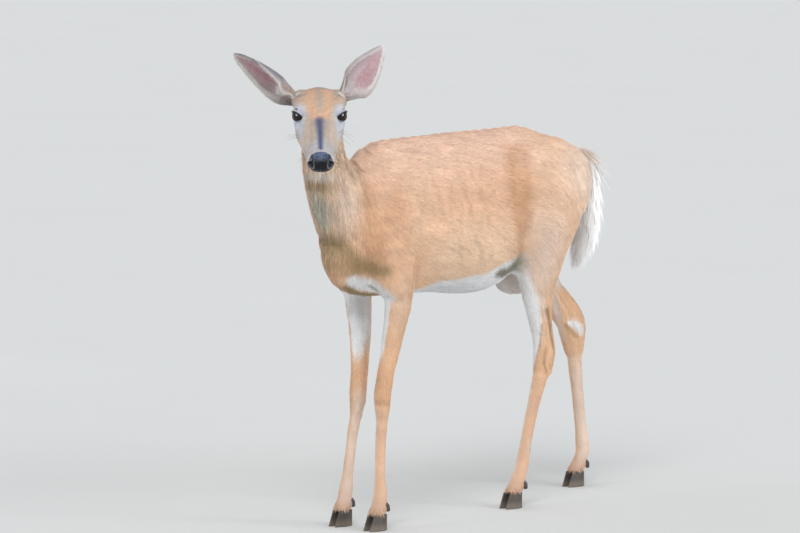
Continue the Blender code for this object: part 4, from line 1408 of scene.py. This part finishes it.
@dataclass
class Skin:
    """The one skin under her coat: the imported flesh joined, smoothed, carved and sunk by the coat's depth.

    Attributes:
        cell: Side of the remesh's cells.
        swell: How far each solid grows before joining, so the gaps between them close.
        flesh: Names of the solids it stands for.
        hide: What the tufts grow on, once the skin is built.
    """

    cell: float = 0.005
    swell: float = 0.0015
    flesh: tuple[str, ...] = (
        "head", "lower_jaw", "neck", "trunk",
        "fore_leg_upper_left", "fore_leg_upper_right", "fore_leg_lower_left", "fore_leg_lower_right",
        "hind_leg_upper_left", "hind_leg_upper_right", "hind_leg_lower_left", "hind_leg_lower_right",
    )
    hide: Hide = field(init=False)

    def depth(self, points: Array) -> Array:
        """How deep the coat is: least on the face and feet, most on the trunk and neck."""
        deep = 0.0008 + 0.0009 * smoothstep(0.35, 0.6, points[:, 2])
        places = HEAD.inside(points)
        face = REGIONS.head(points) * smoothstep(-0.02, 0.08, places[:, 1])
        return deep + (0.0002 - deep) * face

    def build(self) -> Piece:
        """Makes the skin.

        Returns:
            The piece, painted and with its flat map; self.hide is filled for the tufts.
        """
        solids, triangles = solid_copy([*self.flesh, "nose"])
        solids = solids + corner_normals(solids, triangles) * self.swell
        skull = HEAD.outside(np.array((0.0, 0.11, -0.012)))
        eyes = [HEAD.outside(eye.middle) for eye in EYES]
        balls = ([skull, *eyes], [0.165, 0.026, 0.026])
        points, triangles, edges = remeshed(solids, triangles, self.cell, balls)
        points = faired(points, edges, 10)
        trunk = 1 - np.maximum(REGIONS.head(points), falling(0.5, 0.6, points[:, 2]))
        points = faired(points, edges, 16, trunk)
        normals = corner_normals(points, triangles)
        relief = Relief()
        head = REGIONS.head(points)
        rise = relief.body(points) * (1 - head) + relief.head(HEAD.inside(points)) * head
        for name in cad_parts:
            if name.startswith("dewclaw_"):
                away = points - solid_copy([name])[0].mean(0)
                rise = rise + 0.006 * bell(np.linalg.norm(away, axis=1) / 0.013)
        points = points + normals * (rise - self.swell - self.depth(points))[:, None]
        for eye in EYES:
            points = HEAD.outside(eye.press(HEAD.inside(points)))
            points = faired(points, edges, 24, eye.brim(HEAD.inside(points)))
        points = points + self.under_nose(points)
        normals = corner_normals(points, triangles)
        piece = new_piece("skin", points, triangles, HideFinish().make())
        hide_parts(*self.flesh)
        put_colours(piece, MARKINGS.paint(points, normals))
        self.hide = Hide(points, triangles, normals, self.unwrap(piece))
        return piece

    def under_nose(self, points: Array) -> Array:
        """The move that sinks the skin's front a little under the bare nose."""
        places = HEAD.inside(points)
        cover = falling(0.84, 1.0, from_nose(places))
        return HEAD.turned(vectors(-0.1 * places[:, 0] * cover, -0.013 * cover, 0.0))

    def unwrap(self, piece: Piece) -> Array:
        """Lays the skin flat as charts, stored as OFBake, and returns the corners' places on them."""
        piece.data.uv_layers.new(name="OFBake")
        bpy.context.view_layer.objects.active = piece
        piece.select_set(True)
        bpy.ops.object.mode_set(mode="EDIT")
        bpy.ops.mesh.select_all(action="SELECT")
        bpy.ops.uv.smart_project(angle_limit=math.radians(66), island_margin=0.003)
        bpy.ops.object.mode_set(mode="OBJECT")
        piece.select_set(False)
        flat = read(piece.data.uv_layers["OFBake"].uv, "vector", 2, np.float32)
        return flat.reshape(-1, 3, 2).astype(float)


@dataclass(frozen=True)
class Lie:
    """The way her hair lies and how long it is."""

    def direction(self, points: Array, normals: Array) -> Array:
        """The hair's way along the skin: back along the trunk and face, down the neck, chest and legs."""
        x, y, z = points.T
        side = np.sign(x - MIDDLE)
        down = np.array((0.0, 0.12, -1.0))
        back = vectors(0.1 * side, 1.0, -0.28 - 0.25 * smoothstep(0.8, 0.6, z))
        throat = vectors(-0.15 * side, 0.25, -1.0)
        places = HEAD.inside(points)
        face = vectors(0.3 * np.sign(places[:, 0]), -1.0, -0.35 * smoothstep(0.03, -0.05, places[:, 2]))
        haunch = smoothstep(0.16, 0.42, y) * falling(0.74, 0.84, z)
        legs = np.maximum(REGIONS.fore_leg(points), 0.8 * REGIONS.hind_leg(points))
        belly = falling(0.5, 0.54, z) * (z > 0.46) * smoothstep(0.3, 0.8, -normals[:, 2])
        ways = back
        for way, share in (
            (down, smoothstep(-0.2, -0.34, y)),
            (down + np.array((0.0, 0.35, 0.0)), haunch),
            (down, legs),
            (np.array((0.0, 1.0, -0.1)), belly),
            (throat, REGIONS.neck(points)),
            (HEAD.turned(face), REGIONS.head(points)),
        ):
            ways = blend(ways, way, share)
        return along_surface(ways, normals)

    def length(self, points: Array) -> Array:
        """Hair length in metres.

        It is 3 mm on the muzzle and 7 on the crown, 11 over the hooves, 6 to 10 up the legs,
        15 on the trunk and up to 25 on the throat.
        """
        y, z = points[:, 1], points[:, 2]
        long = 0.006 + 0.004 * smoothstep(0.1, 0.3, z) + 0.005 * smoothstep(0.42, 0.6, z)
        long = long + 0.005 * falling(0.045, 0.06, z)
        chest = smoothstep(-0.28, -0.36, y) * smoothstep(0.5, 0.56, z)
        long = long + 0.004 * chest + 0.006 * bell((z - 0.62) / 0.06) * (y < -0.3)
        places = HEAD.inside(points)
        face = 0.0032 + 0.0035 * falling(0.02, 0.18, places[:, 1])
        return long + (face - long) * REGIONS.head(points)


@dataclass
class Coat:
    """Her coat: tufts over the whole skin, in pieces by region.

    Attributes:
        hide: The skin that it grows on.
        seed: Chance's seed.
        lie: The hair's ways and lengths.
        plan: Each piece's name with its number of tufts.
        slim: A tuft's breadth, as a share of its length.
        breadths: Its least and greatest breadth.
        stray: How far each tuft turns off the hair's way by chance, in radians.
        clump: How far the streaks turn it.
        uneven: How much lighter or darker each tuft is by chance, as a share.
        deep: How far under the skin it is rooted.
    """

    hide: Hide
    seed: int = 11
    slim: float = 0.11
    breadths: tuple[float, float] = (0.0006, 0.0017)
    stray: float = 0.09
    clump: float = 0.035
    uneven: float = 0.066
    deep: float = 0.0004
    lie: Lie = field(default_factory=Lie)
    plan: dict[str, int] = field(
        default_factory=lambda: {
            "head": 56000, "neck": 42000, "shoulder_left": 34000, "shoulder_right": 34000,
            "barrel_left": 50000, "barrel_right": 48000, "haunch_left": 40000, "haunch_right": 40000,
            "fore_legs": 30000, "hind_legs": 34000,
        }
    )

    def region(self, points: Array) -> Array:
        """The number in the plan of the region that each point is in."""
        x, y, z = points.T
        left = x > MIDDLE
        region = np.where(left, 4, 5)
        region = np.where(y < -0.19, np.where(left, 2, 3), region)
        region = np.where(y > 0.15, np.where(left, 6, 7), region)
        region = np.where((z < 0.5) & (y < -0.15), 8, region)
        region = np.where((z < 0.52) & (y > 0.13), 9, region)
        region = np.where(REGIONS.neck(points) > 0.5, 1, region)
        return np.where(REGIONS.head(points) > 0.5, 0, region)

    def density(self, points: Array) -> Array:
        """How thickly the hair stands: none on the eyes and the bare nose, more where it is short."""
        places = HEAD.inside(points)
        head = REGIONS.head(points)
        bare = np.maximum(EYES[0].openness(places), EYES[1].openness(places))
        bare = np.maximum(bare, from_nose(places) < 1.06)
        fine = 1 + 1.2 * smoothstep(0.06, 0.16, places[:, 1])
        return (1 + (fine - 1) * head) * (1 - bare * head)

    def build(self, material: Material) -> list[Piece]:
        """Grows the tufts region by region and returns the pieces."""
        centres = self.hide.points[self.hide.triangles].mean(1)
        region, density = self.region(centres), self.density(centres)
        made = []
        for number, (name, count) in enumerate(self.plan.items()):
            rng = np.random.default_rng(self.seed + number)
            places, normals, flat = self.hide.scatter(density * (region == number), count, rng)
            colours = MARKINGS.paint(places, normals)
            lie = self.lie.direction(places, normals)
            stripe = streaks(places, lie, 0.0032, 0.016, 7) + 0.8 * streaks(places, lie, 0.007, 0.03, 8)
            lie = swung(lie, normals, self.stray * rng.normal(size=count) + self.clump * stripe)
            length = self.lie.length(places) * rng.uniform(0.75, 1.25, count)
            width = np.clip(self.slim * length, *self.breadths) * rng.uniform(0.7, 1.3, count)
            chest = REGIONS.neck(places) * (1 - REGIONS.head(places)) * (places[:, 1] < -0.3)
            lift = rng.uniform(0.04, 0.13, count) * (1 + 1.6 * chest + 1.0 * (places[:, 2] < 0.055))
            shade = 1 + self.uneven * rng.normal(size=count) + (0.036 + 0.055 * chest) * stripe
            roots = places - normals * self.deep
            tufts = Tufts(roots, normals, lie, length, width, lift, colours * shade[:, None], flat)
            made.append(tufts.piece(f"coat_{name}", 2, "coat", material))
        return made


# ---- nose


@dataclass
class Nose:
    """The bare nose pad, with its two comma-shaped nostrils and the groove between them.

    Attributes:
        cell: Side of the remesh's cells.
        nostril: Middle of her right nostril, across and up, in the head's axes.
        reach: Half of its breadth and of its height.
        curl: How much its upper end leans outwards.
    """

    cell: float = 0.0013
    nostril: tuple[float, float] = (0.0235, -0.0045)
    reach: tuple[float, float] = (0.006, 0.0095)
    curl: float = 0.35

    def build(self) -> Piece:
        """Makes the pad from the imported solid: remeshed finely, rounded, and pierced."""
        solids, triangles = solid_copy(["nose"])
        points, triangles, edges = remeshed(solids, triangles, self.cell)
        points = faired(points, edges, 14)
        places = HEAD.inside(points)
        x, y, z = places.T
        out, front, ring = np.abs(x), y > 0.245, self.ring(places)
        pit = falling(0.6, 1.15, ring) * (y > 0.24)
        rim = bell((ring - 1.35) / 0.28) * front
        groove = bell(x / 0.0014) * falling(-0.016, -0.006, z)
        height = 0.0016 - 0.008 * pit + 0.0007 * rim * (1 - pit) - 0.0012 * groove
        points = points + corner_normals(points, triangles) * height[:, None]
        piece = new_piece("nose_pad", points, triangles, NoseFinish().make())
        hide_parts("nose")
        # A painted highlight: blue-grey over the top of the pad.
        top_highlight = smoothstep(-0.003, 0.009, z) * falling(0.014, 0.024, out)
        top_highlight = top_highlight * (0.75 + 0.25 * Mottle(0.006, 51).at(places))
        # A painted highlight: pale grey along the lower rims of the nostrils.
        edge = bell((ring - 1.3) / 0.16) * front * (1 - pit)
        colours = blend(tone(8, 9, 12), tone(108, 126, 158), 0.7 * top_highlight)
        colours = blend(colours, tone(140, 148, 160), 0.6 * edge * smoothstep(0.004, -0.012, z))
        put_colours(piece, blend(colours, tone(8, 7, 8), np.clip(pit * 1.3, 0, 1)))
        return piece

    def ring(self, places: Array) -> Array:
        """How far each place is from its side's nostril, in the nostril's reaches."""
        rise = places[:, 2] - self.nostril[1]
        across = np.abs(places[:, 0]) - self.nostril[0] - self.curl * rise
        return np.hypot(across / self.reach[0], rise / self.reach[1])


# ---- ears


@dataclass(frozen=True)
class Ear:
    """One ear: a cupped leaf, in the head's axes.

    Attributes:
        side: Which ear.
        root: Where its tube starts.
        tip: The way to its tip.
        opening: The way that its cup faces.
        length: Root to tip.
        bow: Sideways bend of the blade.
        flap: How much further the upper rim curls over the cup, as a share of the curl.
        upper: Which rim is the upper one, as the sign that it has across the ear.
        wall: The leather's thickness at the root.
        half: Its greatest half-breadth, laid flat.
    """

    side: Side
    root: tuple[float, float, float]
    tip: tuple[float, float, float]
    opening: tuple[float, float, float]
    length: float
    bow: float
    flap: float = 0.0
    upper: float = 1.0
    wall: float = 0.0017
    half: float = 0.0385

    @property
    def axes(self) -> tuple[Array, Array, Array]:
        """Along the ear, across it, and out of its cup."""
        axis = unit(np.array(self.tip))
        opening = np.array(self.opening)
        opening = unit(opening - axis * opening.dot(axis))
        return axis, np.cross(axis, opening), opening

    def leaf(self, u: Array, v: Array) -> tuple[Array, Array]:
        """The ear's middle surface.

        Its half-breadth is that of a leaf, sin(pi u^0.86)^0.66, on a short stalk; each
        cross-section is an arc whose half-angle falls from 140 degrees at the root to
        34 at the tip.

        Args:
            u: From the root, 0, to the tip, 1.
            v: From one rim, -1, to the other, 1.

        Returns:
            Places in the head's axes, and the directions out of the cup there.
        """
        axis, across, opening = self.axes
        body = np.sin(np.pi * u**0.86) ** 0.66
        half = self.half * (0.5 * (1 - u) ** 2 + body * (1.02 - 0.22 * u)) + 0.0012
        curl = np.radians(78.0) * falling(0.0, 0.34, u) + np.radians(62.0) * (1 - 0.45 * u)
        radius = half / curl
        over = self.flap * band(0.1, 0.28, 0.55, 0.92, u)
        turn = v * curl * (1 + over * smoothstep(0.0, 0.9, v * self.upper))
        depth = radius * (1 - np.cos(turn)) - 0.012 * np.sin(np.pi * u)
        width = radius * np.sin(turn) + self.bow * np.sin(np.pi * u)
        places = (
            np.array(self.root)
            + (self.length * u + 0 * v)[..., None] * axis
            + width[..., None] * across
            + depth[..., None] * opening
        )
        facing = -np.sin(turn)[..., None] * across + np.cos(turn)[..., None] * opening
        return places, facing

    def paint(self, u: Array, v: Array, inner: bool, places: Array) -> Array:
        """Colours inside the cup, pink with pale hair towards the rims and painted shade under the fold, or
        outside it, grey-brown.
        """
        across, beside = v * self.upper, np.abs(v)
        rim = np.clip(smoothstep(0.8, 0.97, beside) + smoothstep(0.93, 1.0, u), 0, 1)
        cloud = Mottle(0.014, 31).at(places.reshape(-1, 3)).reshape(u.shape)
        if not inner:
            colours = blend(tone(184, 166, 154), tone(160, 154, 168), smoothstep(0.12, 0.4, u))
            root = smoothstep(0.55, 0.9, beside) * falling(0.2, 0.5, u)
            colours = blend(colours, tone(126, 108, 96), 0.5 * root) * (1 + 0.06 * cloud)[..., None]
            return blend(colours, tone(222, 216, 212), 0.8 * rim)
        streak = np.cos(9.0 * v + 2.5 * u + 1.2 * cloud) * 0.5 + 0.5
        pink = bell((v + 0.15 * self.upper) / 0.5) * band(0.22, 0.42, 0.86, 0.99, u)
        pale = bell((across - 0.34) / 0.2) * band(0.1, 0.25, 0.5, 0.8, u)
        # fold is painted shade: dark brown under the curled upper rim, near the root.
        fold = smoothstep(0.25, 0.65, across) * falling(0.3, 0.62, u) * min(1.0, 1.6 * self.flap)
        colours = blend(tone(196, 172, 178), tone(186, 110, 124), 0.8 * pink * (0.5 + 0.5 * streak))
        pale = (0.45 + 0.3 * self.flap) * pale * (0.55 + 0.45 * streak)
        colours = blend(colours, tone(222, 218, 228), pale)
        colours = blend(colours, tone(122, 98, 82), 0.8 * fold)
        return blend(colours, tone(238, 232, 230), 0.9 * rim)

    def thickness(self, u: Array, v: Array) -> Array:
        """The leather's thickness, less at the rims and towards the tip."""
        return self.wall * (0.25 + 0.75 * (1 - np.abs(v) ** 6)) * (1 - 0.6 * u)

    def build(
        self, leather: Material, hair: Material, rng: Chance
    ) -> list[Piece]:
        """Makes the ear: its leather, the short coat on its back, and the long pale hair inside."""
        rows, columns = 50, 31
        u, v = np.meshgrid(np.linspace(0.02, 0.997, rows), np.linspace(-1, 1, columns), indexing="ij")
        places, facing = self.leaf(u, v)
        out = facing * 0.5 * self.thickness(u, v)[..., None]
        inner, outer = places + out, places - out
        points = HEAD.outside(np.concatenate([inner, outer[:, ::-1]], 1).reshape(-1, 3))
        wide = 2 * columns
        name = self.side.name.lower()
        faces = grid_faces(rows, wide, True)
        ear = closed_grid(f"ear_leather_{name}", points, faces, wide, leather)
        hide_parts(f"ear_{name}")
        colours = np.concatenate([self.paint(u, v, True, inner), self.paint(u, v, False, outer)[:, ::-1]], 1)
        colours = colours.reshape(-1, 3)
        put_colours(ear, np.concatenate([colours, colours[[0, -1]]]))
        made = [ear]
        for label, count, inside in (("back", 11000, False), ("lining", 7000, True)):
            made.append(self.hair(count, inside, rng).piece(f"ear_hair_{label}_{name}", 2, "coat", hair))
        return made

    def hair(self, count: int, inside: bool, rng: Chance) -> Tufts:
        """Hair on one face of the ear, short outside, and long and pale near the rims and the root inside."""
        u = np.clip(rng.random(count) ** 0.9, 0.03, 0.985)
        v = rng.uniform(-1, 1, count)
        if inside:
            rims = rng.random(count) < 0.45
            v = np.where(rims, np.sign(v) * (1 - 0.16 * rng.random(count) ** 1.5), v)
        places, facing = self.leaf(u, v)
        ahead, _ = self.leaf(np.clip(u + 0.01, 0, 0.999), v)
        back, _ = self.leaf(np.clip(u - 0.01, 0.001, 1), v)
        beside, _ = self.leaf(u, np.clip(v * 0.98, -1, 1))
        along, towards = unit(ahead - back), unit(beside - places)
        normals = facing if inside else -facing
        rim = smoothstep(0.8, 1.0, np.abs(v))
        colours = self.paint(u, v, inside, places)
        if inside:
            low = falling(0.15, 0.5, u)
            length = 0.006 + 0.01 * rim + 0.014 * low * rng.random(count)
            ways = along + towards * (0.9 * rim * rng.random(count))[:, None]
            white = np.clip(0.25 + 0.6 * rim + 0.6 * low * (v * self.upper < 0.3), 0, 1)
            colours = blend(colours, tone(240, 234, 231), white)
            lift = 0.15 + 0.35 * rim * rng.random(count)
        else:
            length = np.full(count, 0.0075)
            ways = along - towards * (0.4 * rim)[:, None]
            lift = rng.uniform(0.08, 0.2, count)
        lie = along_surface(unit(ways) + 0.12 * rng.normal(size=(count, 3)), normals)
        length = length * rng.uniform(0.7, 1.2, count) * (1 - 0.65 * smoothstep(0.86, 1.0, u))
        width = np.where(length > 0.01, 0.0007, 0.0009)
        flat = np.stack([0.25 + 0.2 * v + (0.0 if inside else 0.5), 0.05 + 0.9 * u], 1)
        shade = (1 + 0.06 * rng.normal(size=count))[:, None]
        roots = places + normals * (0.0003 + 0.47 * self.thickness(u, v))[:, None]
        ways = HEAD.turned(normals), HEAD.turned(lie)
        return Tufts(HEAD.outside(roots), *ways, length, width, lift, colours * shade, flat)


EARS = (
    Ear(
        Side.LEFT, root=(-0.044, 0.011, 0.003), tip=(-0.1, -0.122, 0.062), opening=(-0.26, 0.88, 0.47),
        length=0.176, bow=0.009, flap=0.22, upper=-1.0,
    ),
    Ear(
        Side.RIGHT, root=(0.042, 0.011, 0.003), tip=(0.145, -0.06, 0.08), opening=(0.36, 0.91, -0.12),
        length=0.184, bow=-0.006, flap=0.82, upper=1.0,
    ),
)


# ---- tail


@dataclass
class Tail:
    """The tail: a slim core under long locks, white below and at its edges, tan along its back.

    Attributes:
        cell: Side of the remesh's cells.
        locks: How many locks it has.
        end: Height over which the locks end.
    """

    cell: float = 0.0035
    locks: int = 13000
    end: float = 0.502

    def build(
        self, hide: Material, hair: Material, rng: Chance
    ) -> list[Piece]:
        """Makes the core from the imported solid, drawn in by the hair's depth, and its locks."""
        solids, triangles = solid_copy(["tail"])
        points, triangles, edges = remeshed(solids, triangles, self.cell)
        points = faired(points, edges, 12)
        normals = corner_normals(points, triangles)
        slim = 0.0035 + 0.002 * falling(0.52, 0.62, points[:, 2])
        core = points - normals * slim[:, None]
        core[:, 2] += 0.035 * falling(0.5, 0.7, points[:, 2])
        piece = new_piece("tail_core", core, triangles, hide)
        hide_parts("tail")
        put_colours(piece, self.paint(core, normals))
        across, up = (core[:, 0] + 0.08) * 4 + 0.5 * (normals[:, 1] > 0), (core[:, 2] - 0.45) * 2.5
        flat = np.stack([across, up], 1)[triangles] * 0.98
        put_map(piece, flat)
        surface = Hide(core, triangles, normals, flat)
        places, ways, spots = surface.scatter(np.ones(len(triangles)), self.locks, rng)
        lie = along_surface(np.array((0.0, 0.02, -1.0)), ways)
        spread = (places[:, 0] - MIDDLE) * (2.0 - 9.0 * falling(0.52, 0.68, places[:, 2]))
        lie = unit(lie + vectors(spread, 0.0, 0.0) + 0.07 * rng.normal(size=lie.shape))
        room = np.clip(places[:, 2] - self.end, 0.006, 1.0)
        length = np.minimum(rng.uniform(0.035, 0.075, self.locks), room * rng.uniform(0.75, 1.0, self.locks))
        loose = (rng.random(self.locks) < 0.16) * smoothstep(0.6, 0.74, places[:, 2])
        lift = rng.uniform(0.02, 0.1, self.locks) + 0.35 * loose * rng.random(self.locks)
        shade = (1 + 0.04 * rng.normal(size=self.locks))[:, None]
        colours = self.paint(places, ways) * shade
        width = rng.uniform(0.0009, 0.0019, self.locks)
        tufts = Tufts(places, ways, lie, length, width, lift, colours * 1.22, spots, tips=colours * 1.06)
        return [piece, tufts.piece("tail_locks", 4, "pale_coat", hair)]

    def paint(self, points: Array, normals: Array) -> Array:
        """White, with tan along the back of the tail that thins out towards its tip."""
        out = np.abs(points[:, 0] - MIDDLE)
        back = smoothstep(0.55, 0.85, normals[:, 1]) * falling(0.008, 0.018, out)
        back = back * smoothstep(0.56, 0.66, points[:, 2])
        back = np.maximum(back, smoothstep(0.78, 0.805, points[:, 2]) * (normals[:, 1] > -0.2) * 0.6)
        return blend(tone(251, 251, 252), tone(214, 176, 142), back)


# ---- feet, studio


@dataclass
class Feet:
    """Her eight toes and eight dewclaws, rounded and dressed as horn.

    Attributes:
        cell: Side of the remesh's cells.
        foot: A toe's breadth at the sole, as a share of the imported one's.
        drawn: How much narrower it is at its top.
        point: How much narrower it is at its tip.
        round: Power by which it narrows towards the tip.
    """

    cell: float = 0.0014
    foot: float = 1.05
    drawn: float = 0.26
    point: float = 0.42
    round: float = 2.2

    def build(self) -> list[Piece]:
        """Makes a rounder copy of each packed hoof and claw in its place, the soles flat on the floor."""
        material = HornFinish().make()
        made = []
        for name in sorted(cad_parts):
            if not name.startswith(("hoof_", "dewclaw_")):
                continue
            solids, triangles = solid_copy([name])
            points, triangles, edges = remeshed(solids, triangles, self.cell)
            sole = name.startswith("hoof_")
            points = faired(points, edges, 30 if sole else 14)
            if sole:
                points = self.shaped(points)
            piece = new_piece(f"horn_{name}", points, triangles, material)
            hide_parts(name)
            made.append(piece)
        return made

    def shaped(self, points: Array) -> Array:
        """A toe drawn in towards its top and its tip, with a flat sole on the floor."""
        low, high = points.min(0), points.max(0)
        middle = 0.5 * (low[0] + high[0])
        rise = np.clip((points[:, 2] - low[2]) / (high[2] - low[2]), 0, 1)
        ahead = np.clip((high[1] - points[:, 1]) / (high[1] - low[1]), 0, 1)
        done = points.copy()
        breadth = (self.foot - self.drawn * rise) * (1.0 - self.point * ahead**self.round)
        done[:, 0] = middle + (points[:, 0] - middle) * breadth
        done[:, 2] = np.where(rise < 0.05, 0.0, points[:, 2] - low[2])
        return done


@dataclass(frozen=True)
class Whiskers:
    """Long bristles on the lips and chin and about the eyes, in the head's axes.

    Attributes:
        seed: Chance's seed.
        kinds: For each kind, how many are on a side, the ranges of their places across,
            forward and up, those of their ways, and that of their lengths.
    """

    seed: int = 3
    kinds: tuple[tuple[int, tuple, tuple, tuple[float, float]], ...] = (
        (9, ((0.033, 0.033), (0.215, 0.258), (-0.03, -0.012)),
         ((1.0, 1.0), (-0.5, 0.4), (-0.8, 0.1)), (0.014, 0.03)),
        (6, ((0.006, 0.02), (0.2, 0.25), (-0.05, -0.05)),
         ((0.4, 0.4), (0.1, 0.1), (-1.0, -1.0)), (0.012, 0.022)),
        (5, ((0.046, 0.046), (0.118, 0.135), (-0.024, -0.008)),
         ((1.0, 1.0), (0.1, 0.6), (-0.7, 0.3)), (0.03, 0.055)),
    )

    def build(self, material: Material) -> Piece:
        """Makes them as thin dark blades with paler tips."""
        rng = np.random.default_rng(self.seed)

        def pick(low: float, high: float) -> float:
            """A chance number in a range, or the one number that a range without breadth holds."""
            return rng.uniform(low, high) if high > low else low

        roots, ways, lengths = [], [], []
        for side in (-1.0, 1.0):
            for count, spots, turns, reach in self.kinds:
                for _ in range(count):
                    roots.append([pick(*span) for span in spots])
                    ways.append([pick(*span) for span in turns])
                    lengths.append(pick(*reach))
                    roots[-1][0] *= side
                    ways[-1][0] *= side
        count = len(roots)
        roots, ways = np.array(roots), unit(np.array(ways))
        normals = unit(np.cross(ways, rng.normal(size=(count, 3))))
        dark = np.tile(tone(70, 62, 58), (count, 1))
        flat = rng.uniform(0.05, 0.95, (count, 2))
        return Tufts(
            HEAD.outside(roots), HEAD.turned(normals), HEAD.turned(ways), np.array(lengths),
            np.full(count, 0.0005), np.zeros(count), dark, flat, droop=0.15, tips=dark * 1.6,
        ).piece("whiskers", 4, "coat", material)


@dataclass(frozen=True)
class Studio:
    """Plain pale floor, soft light and the camera.

    Attributes:
        place: Where the camera stands.
        turn: How far it is turned about the upright axis.
        dip: How far it looks down.
        lens: Its focal length in millimetres.
        sensor: The width of its film in millimetres.
    """

    place: tuple[float, float, float] = (7.2049, -7.3733, 1.703)
    turn: float = math.radians(45.0)
    dip: float = math.radians(6.155)
    lens: float = 198.7
    sensor: float = 36.0

    def build(self) -> None:
        """Sets up the camera, the floor and the lights."""
        scene = bpy.context.scene
        scene.view_settings.view_transform = "Standard"
        lens = bpy.data.cameras.new("camera")
        lens.lens, lens.sensor_width, lens.clip_end = self.lens, self.sensor, 400.0
        camera = bpy.data.objects.new("camera", lens)
        camera.location = self.place
        camera.rotation_euler = (math.pi / 2 - self.dip, 0.0, self.turn)
        scene.collection.objects.link(camera)
        scene.camera = camera
        self.floor()
        self.sun("key", (0.42, -0.52, 0.74), 1.22, 32.0)
        self.sun("side", (-0.75, -0.35, 0.56), 0.3, 60.0)
        self.sun("rear", (0.88, 0.26, 0.4), 0.85, 40.0)
        self.kicker()
        self.sun("low_rear", (0.86, 0.46, 0.24), 0.36, 8.0)
        self.sun("low_front", (-0.3, -0.91, 0.28), 0.36, 8.0)
        world = bpy.data.worlds.new("studio")
        world.use_nodes = True
        sky = world.node_tree.nodes["Background"].inputs
        sky["Color"].default_value, sky["Strength"].default_value = (0.94, 0.96, 1.0, 1.0), 0.56
        scene.world = world

    def floor(self) -> None:
        """A wide matt floor with the faintest cloudiness."""
        finish = Finish("floor_paint", Roughness=0.9, Specular_IOR_Level=0.1)
        cloud = finish.noise(finish.places(), 1.2, 3.0)
        finish.colour(finish.shaded((0.68, 0.69, 0.68, 1.0), 0.98 + 0.04 * cloud))
        sides, reach = 64, 90.0
        ring = [(reach * math.cos(turn), reach * math.sin(turn), 0.0) for turn in circle(sides)]
        mesh = bpy.data.meshes.new("floor")
        mesh.from_pydata(ring, [], [range(sides)])
        floor = bpy.data.objects.new("floor", mesh)
        mesh.materials.append(finish.material)
        bpy.context.scene.collection.objects.link(floor)

    def kicker(self) -> None:
        """A narrow lamp on the tail, which the haunch would otherwise shade."""
        light = bpy.data.lights.new("kicker", "SPOT")
        light.energy, light.shadow_soft_size = 100.0, 0.12
        light.spot_size, light.spot_blend = math.radians(11.0), 1.0
        lamp = bpy.data.objects.new("kicker", light)
        lamp.location = (1.75, 0.36, 0.95)
        way = Vector(lamp.location) - Vector((0.0, 0.575, 0.675))
        lamp.rotation_euler = way.to_track_quat("Z", "Y").to_euler()
        bpy.context.scene.collection.objects.link(lamp)

    def sun(self, name: str, way: tuple[float, float, float], power: float, spread: float) -> None:
        """A soft light from far away.

        Args:
            name: Its name.
            way: The way from her to the light.
            power: Its strength.
            spread: How many degrees of the sky it fills.
        """
        light = bpy.data.lights.new(name, "SUN")
        light.energy, light.angle = power, math.radians(spread)
        lamp = bpy.data.objects.new(name, light)
        lamp.location = Vector(way) * 8.0
        lamp.rotation_euler = Vector(way).to_track_quat("Z", "Y").to_euler()
        bpy.context.scene.collection.objects.link(lamp)


def report(pieces: list[Piece]) -> None:
    """Logs how many faces each piece has."""
    for piece in pieces:
        LOG.info("%s: %d faces", piece.name, len(piece.data.polygons))


def main() -> None:
    """Builds the doe piece by piece, then the studio, and logs each piece's face count."""
    logging.basicConfig(level=logging.INFO, format="%(message)s")
    rng = np.random.default_rng(SEED)
    skin = Skin()
    report([skin.build()])
    hair, hide = TUFT_FINISH.make(), HideFinish("tail_hide").make()
    leather, ball = EAR_FINISH.make(), EYE_FINISH.make()
    report(Coat(skin.hide).build(hair))
    for eye in EYES:
        report([eye.make_ball(ball), eye.make_lids(hide)])
        report([eye.lashes(rng).piece(f"lashes_{eye.side.name.lower()}", 3, "coat", hair)])
    report([Whiskers().build(hair), Nose().build()])
    for ear in EARS:
        report(ear.build(leather, hair, rng))
    report(Tail().build(hide, hair, rng))
    report(Feet().build())
    Studio().build()


if __name__ == "__main__":
    main()
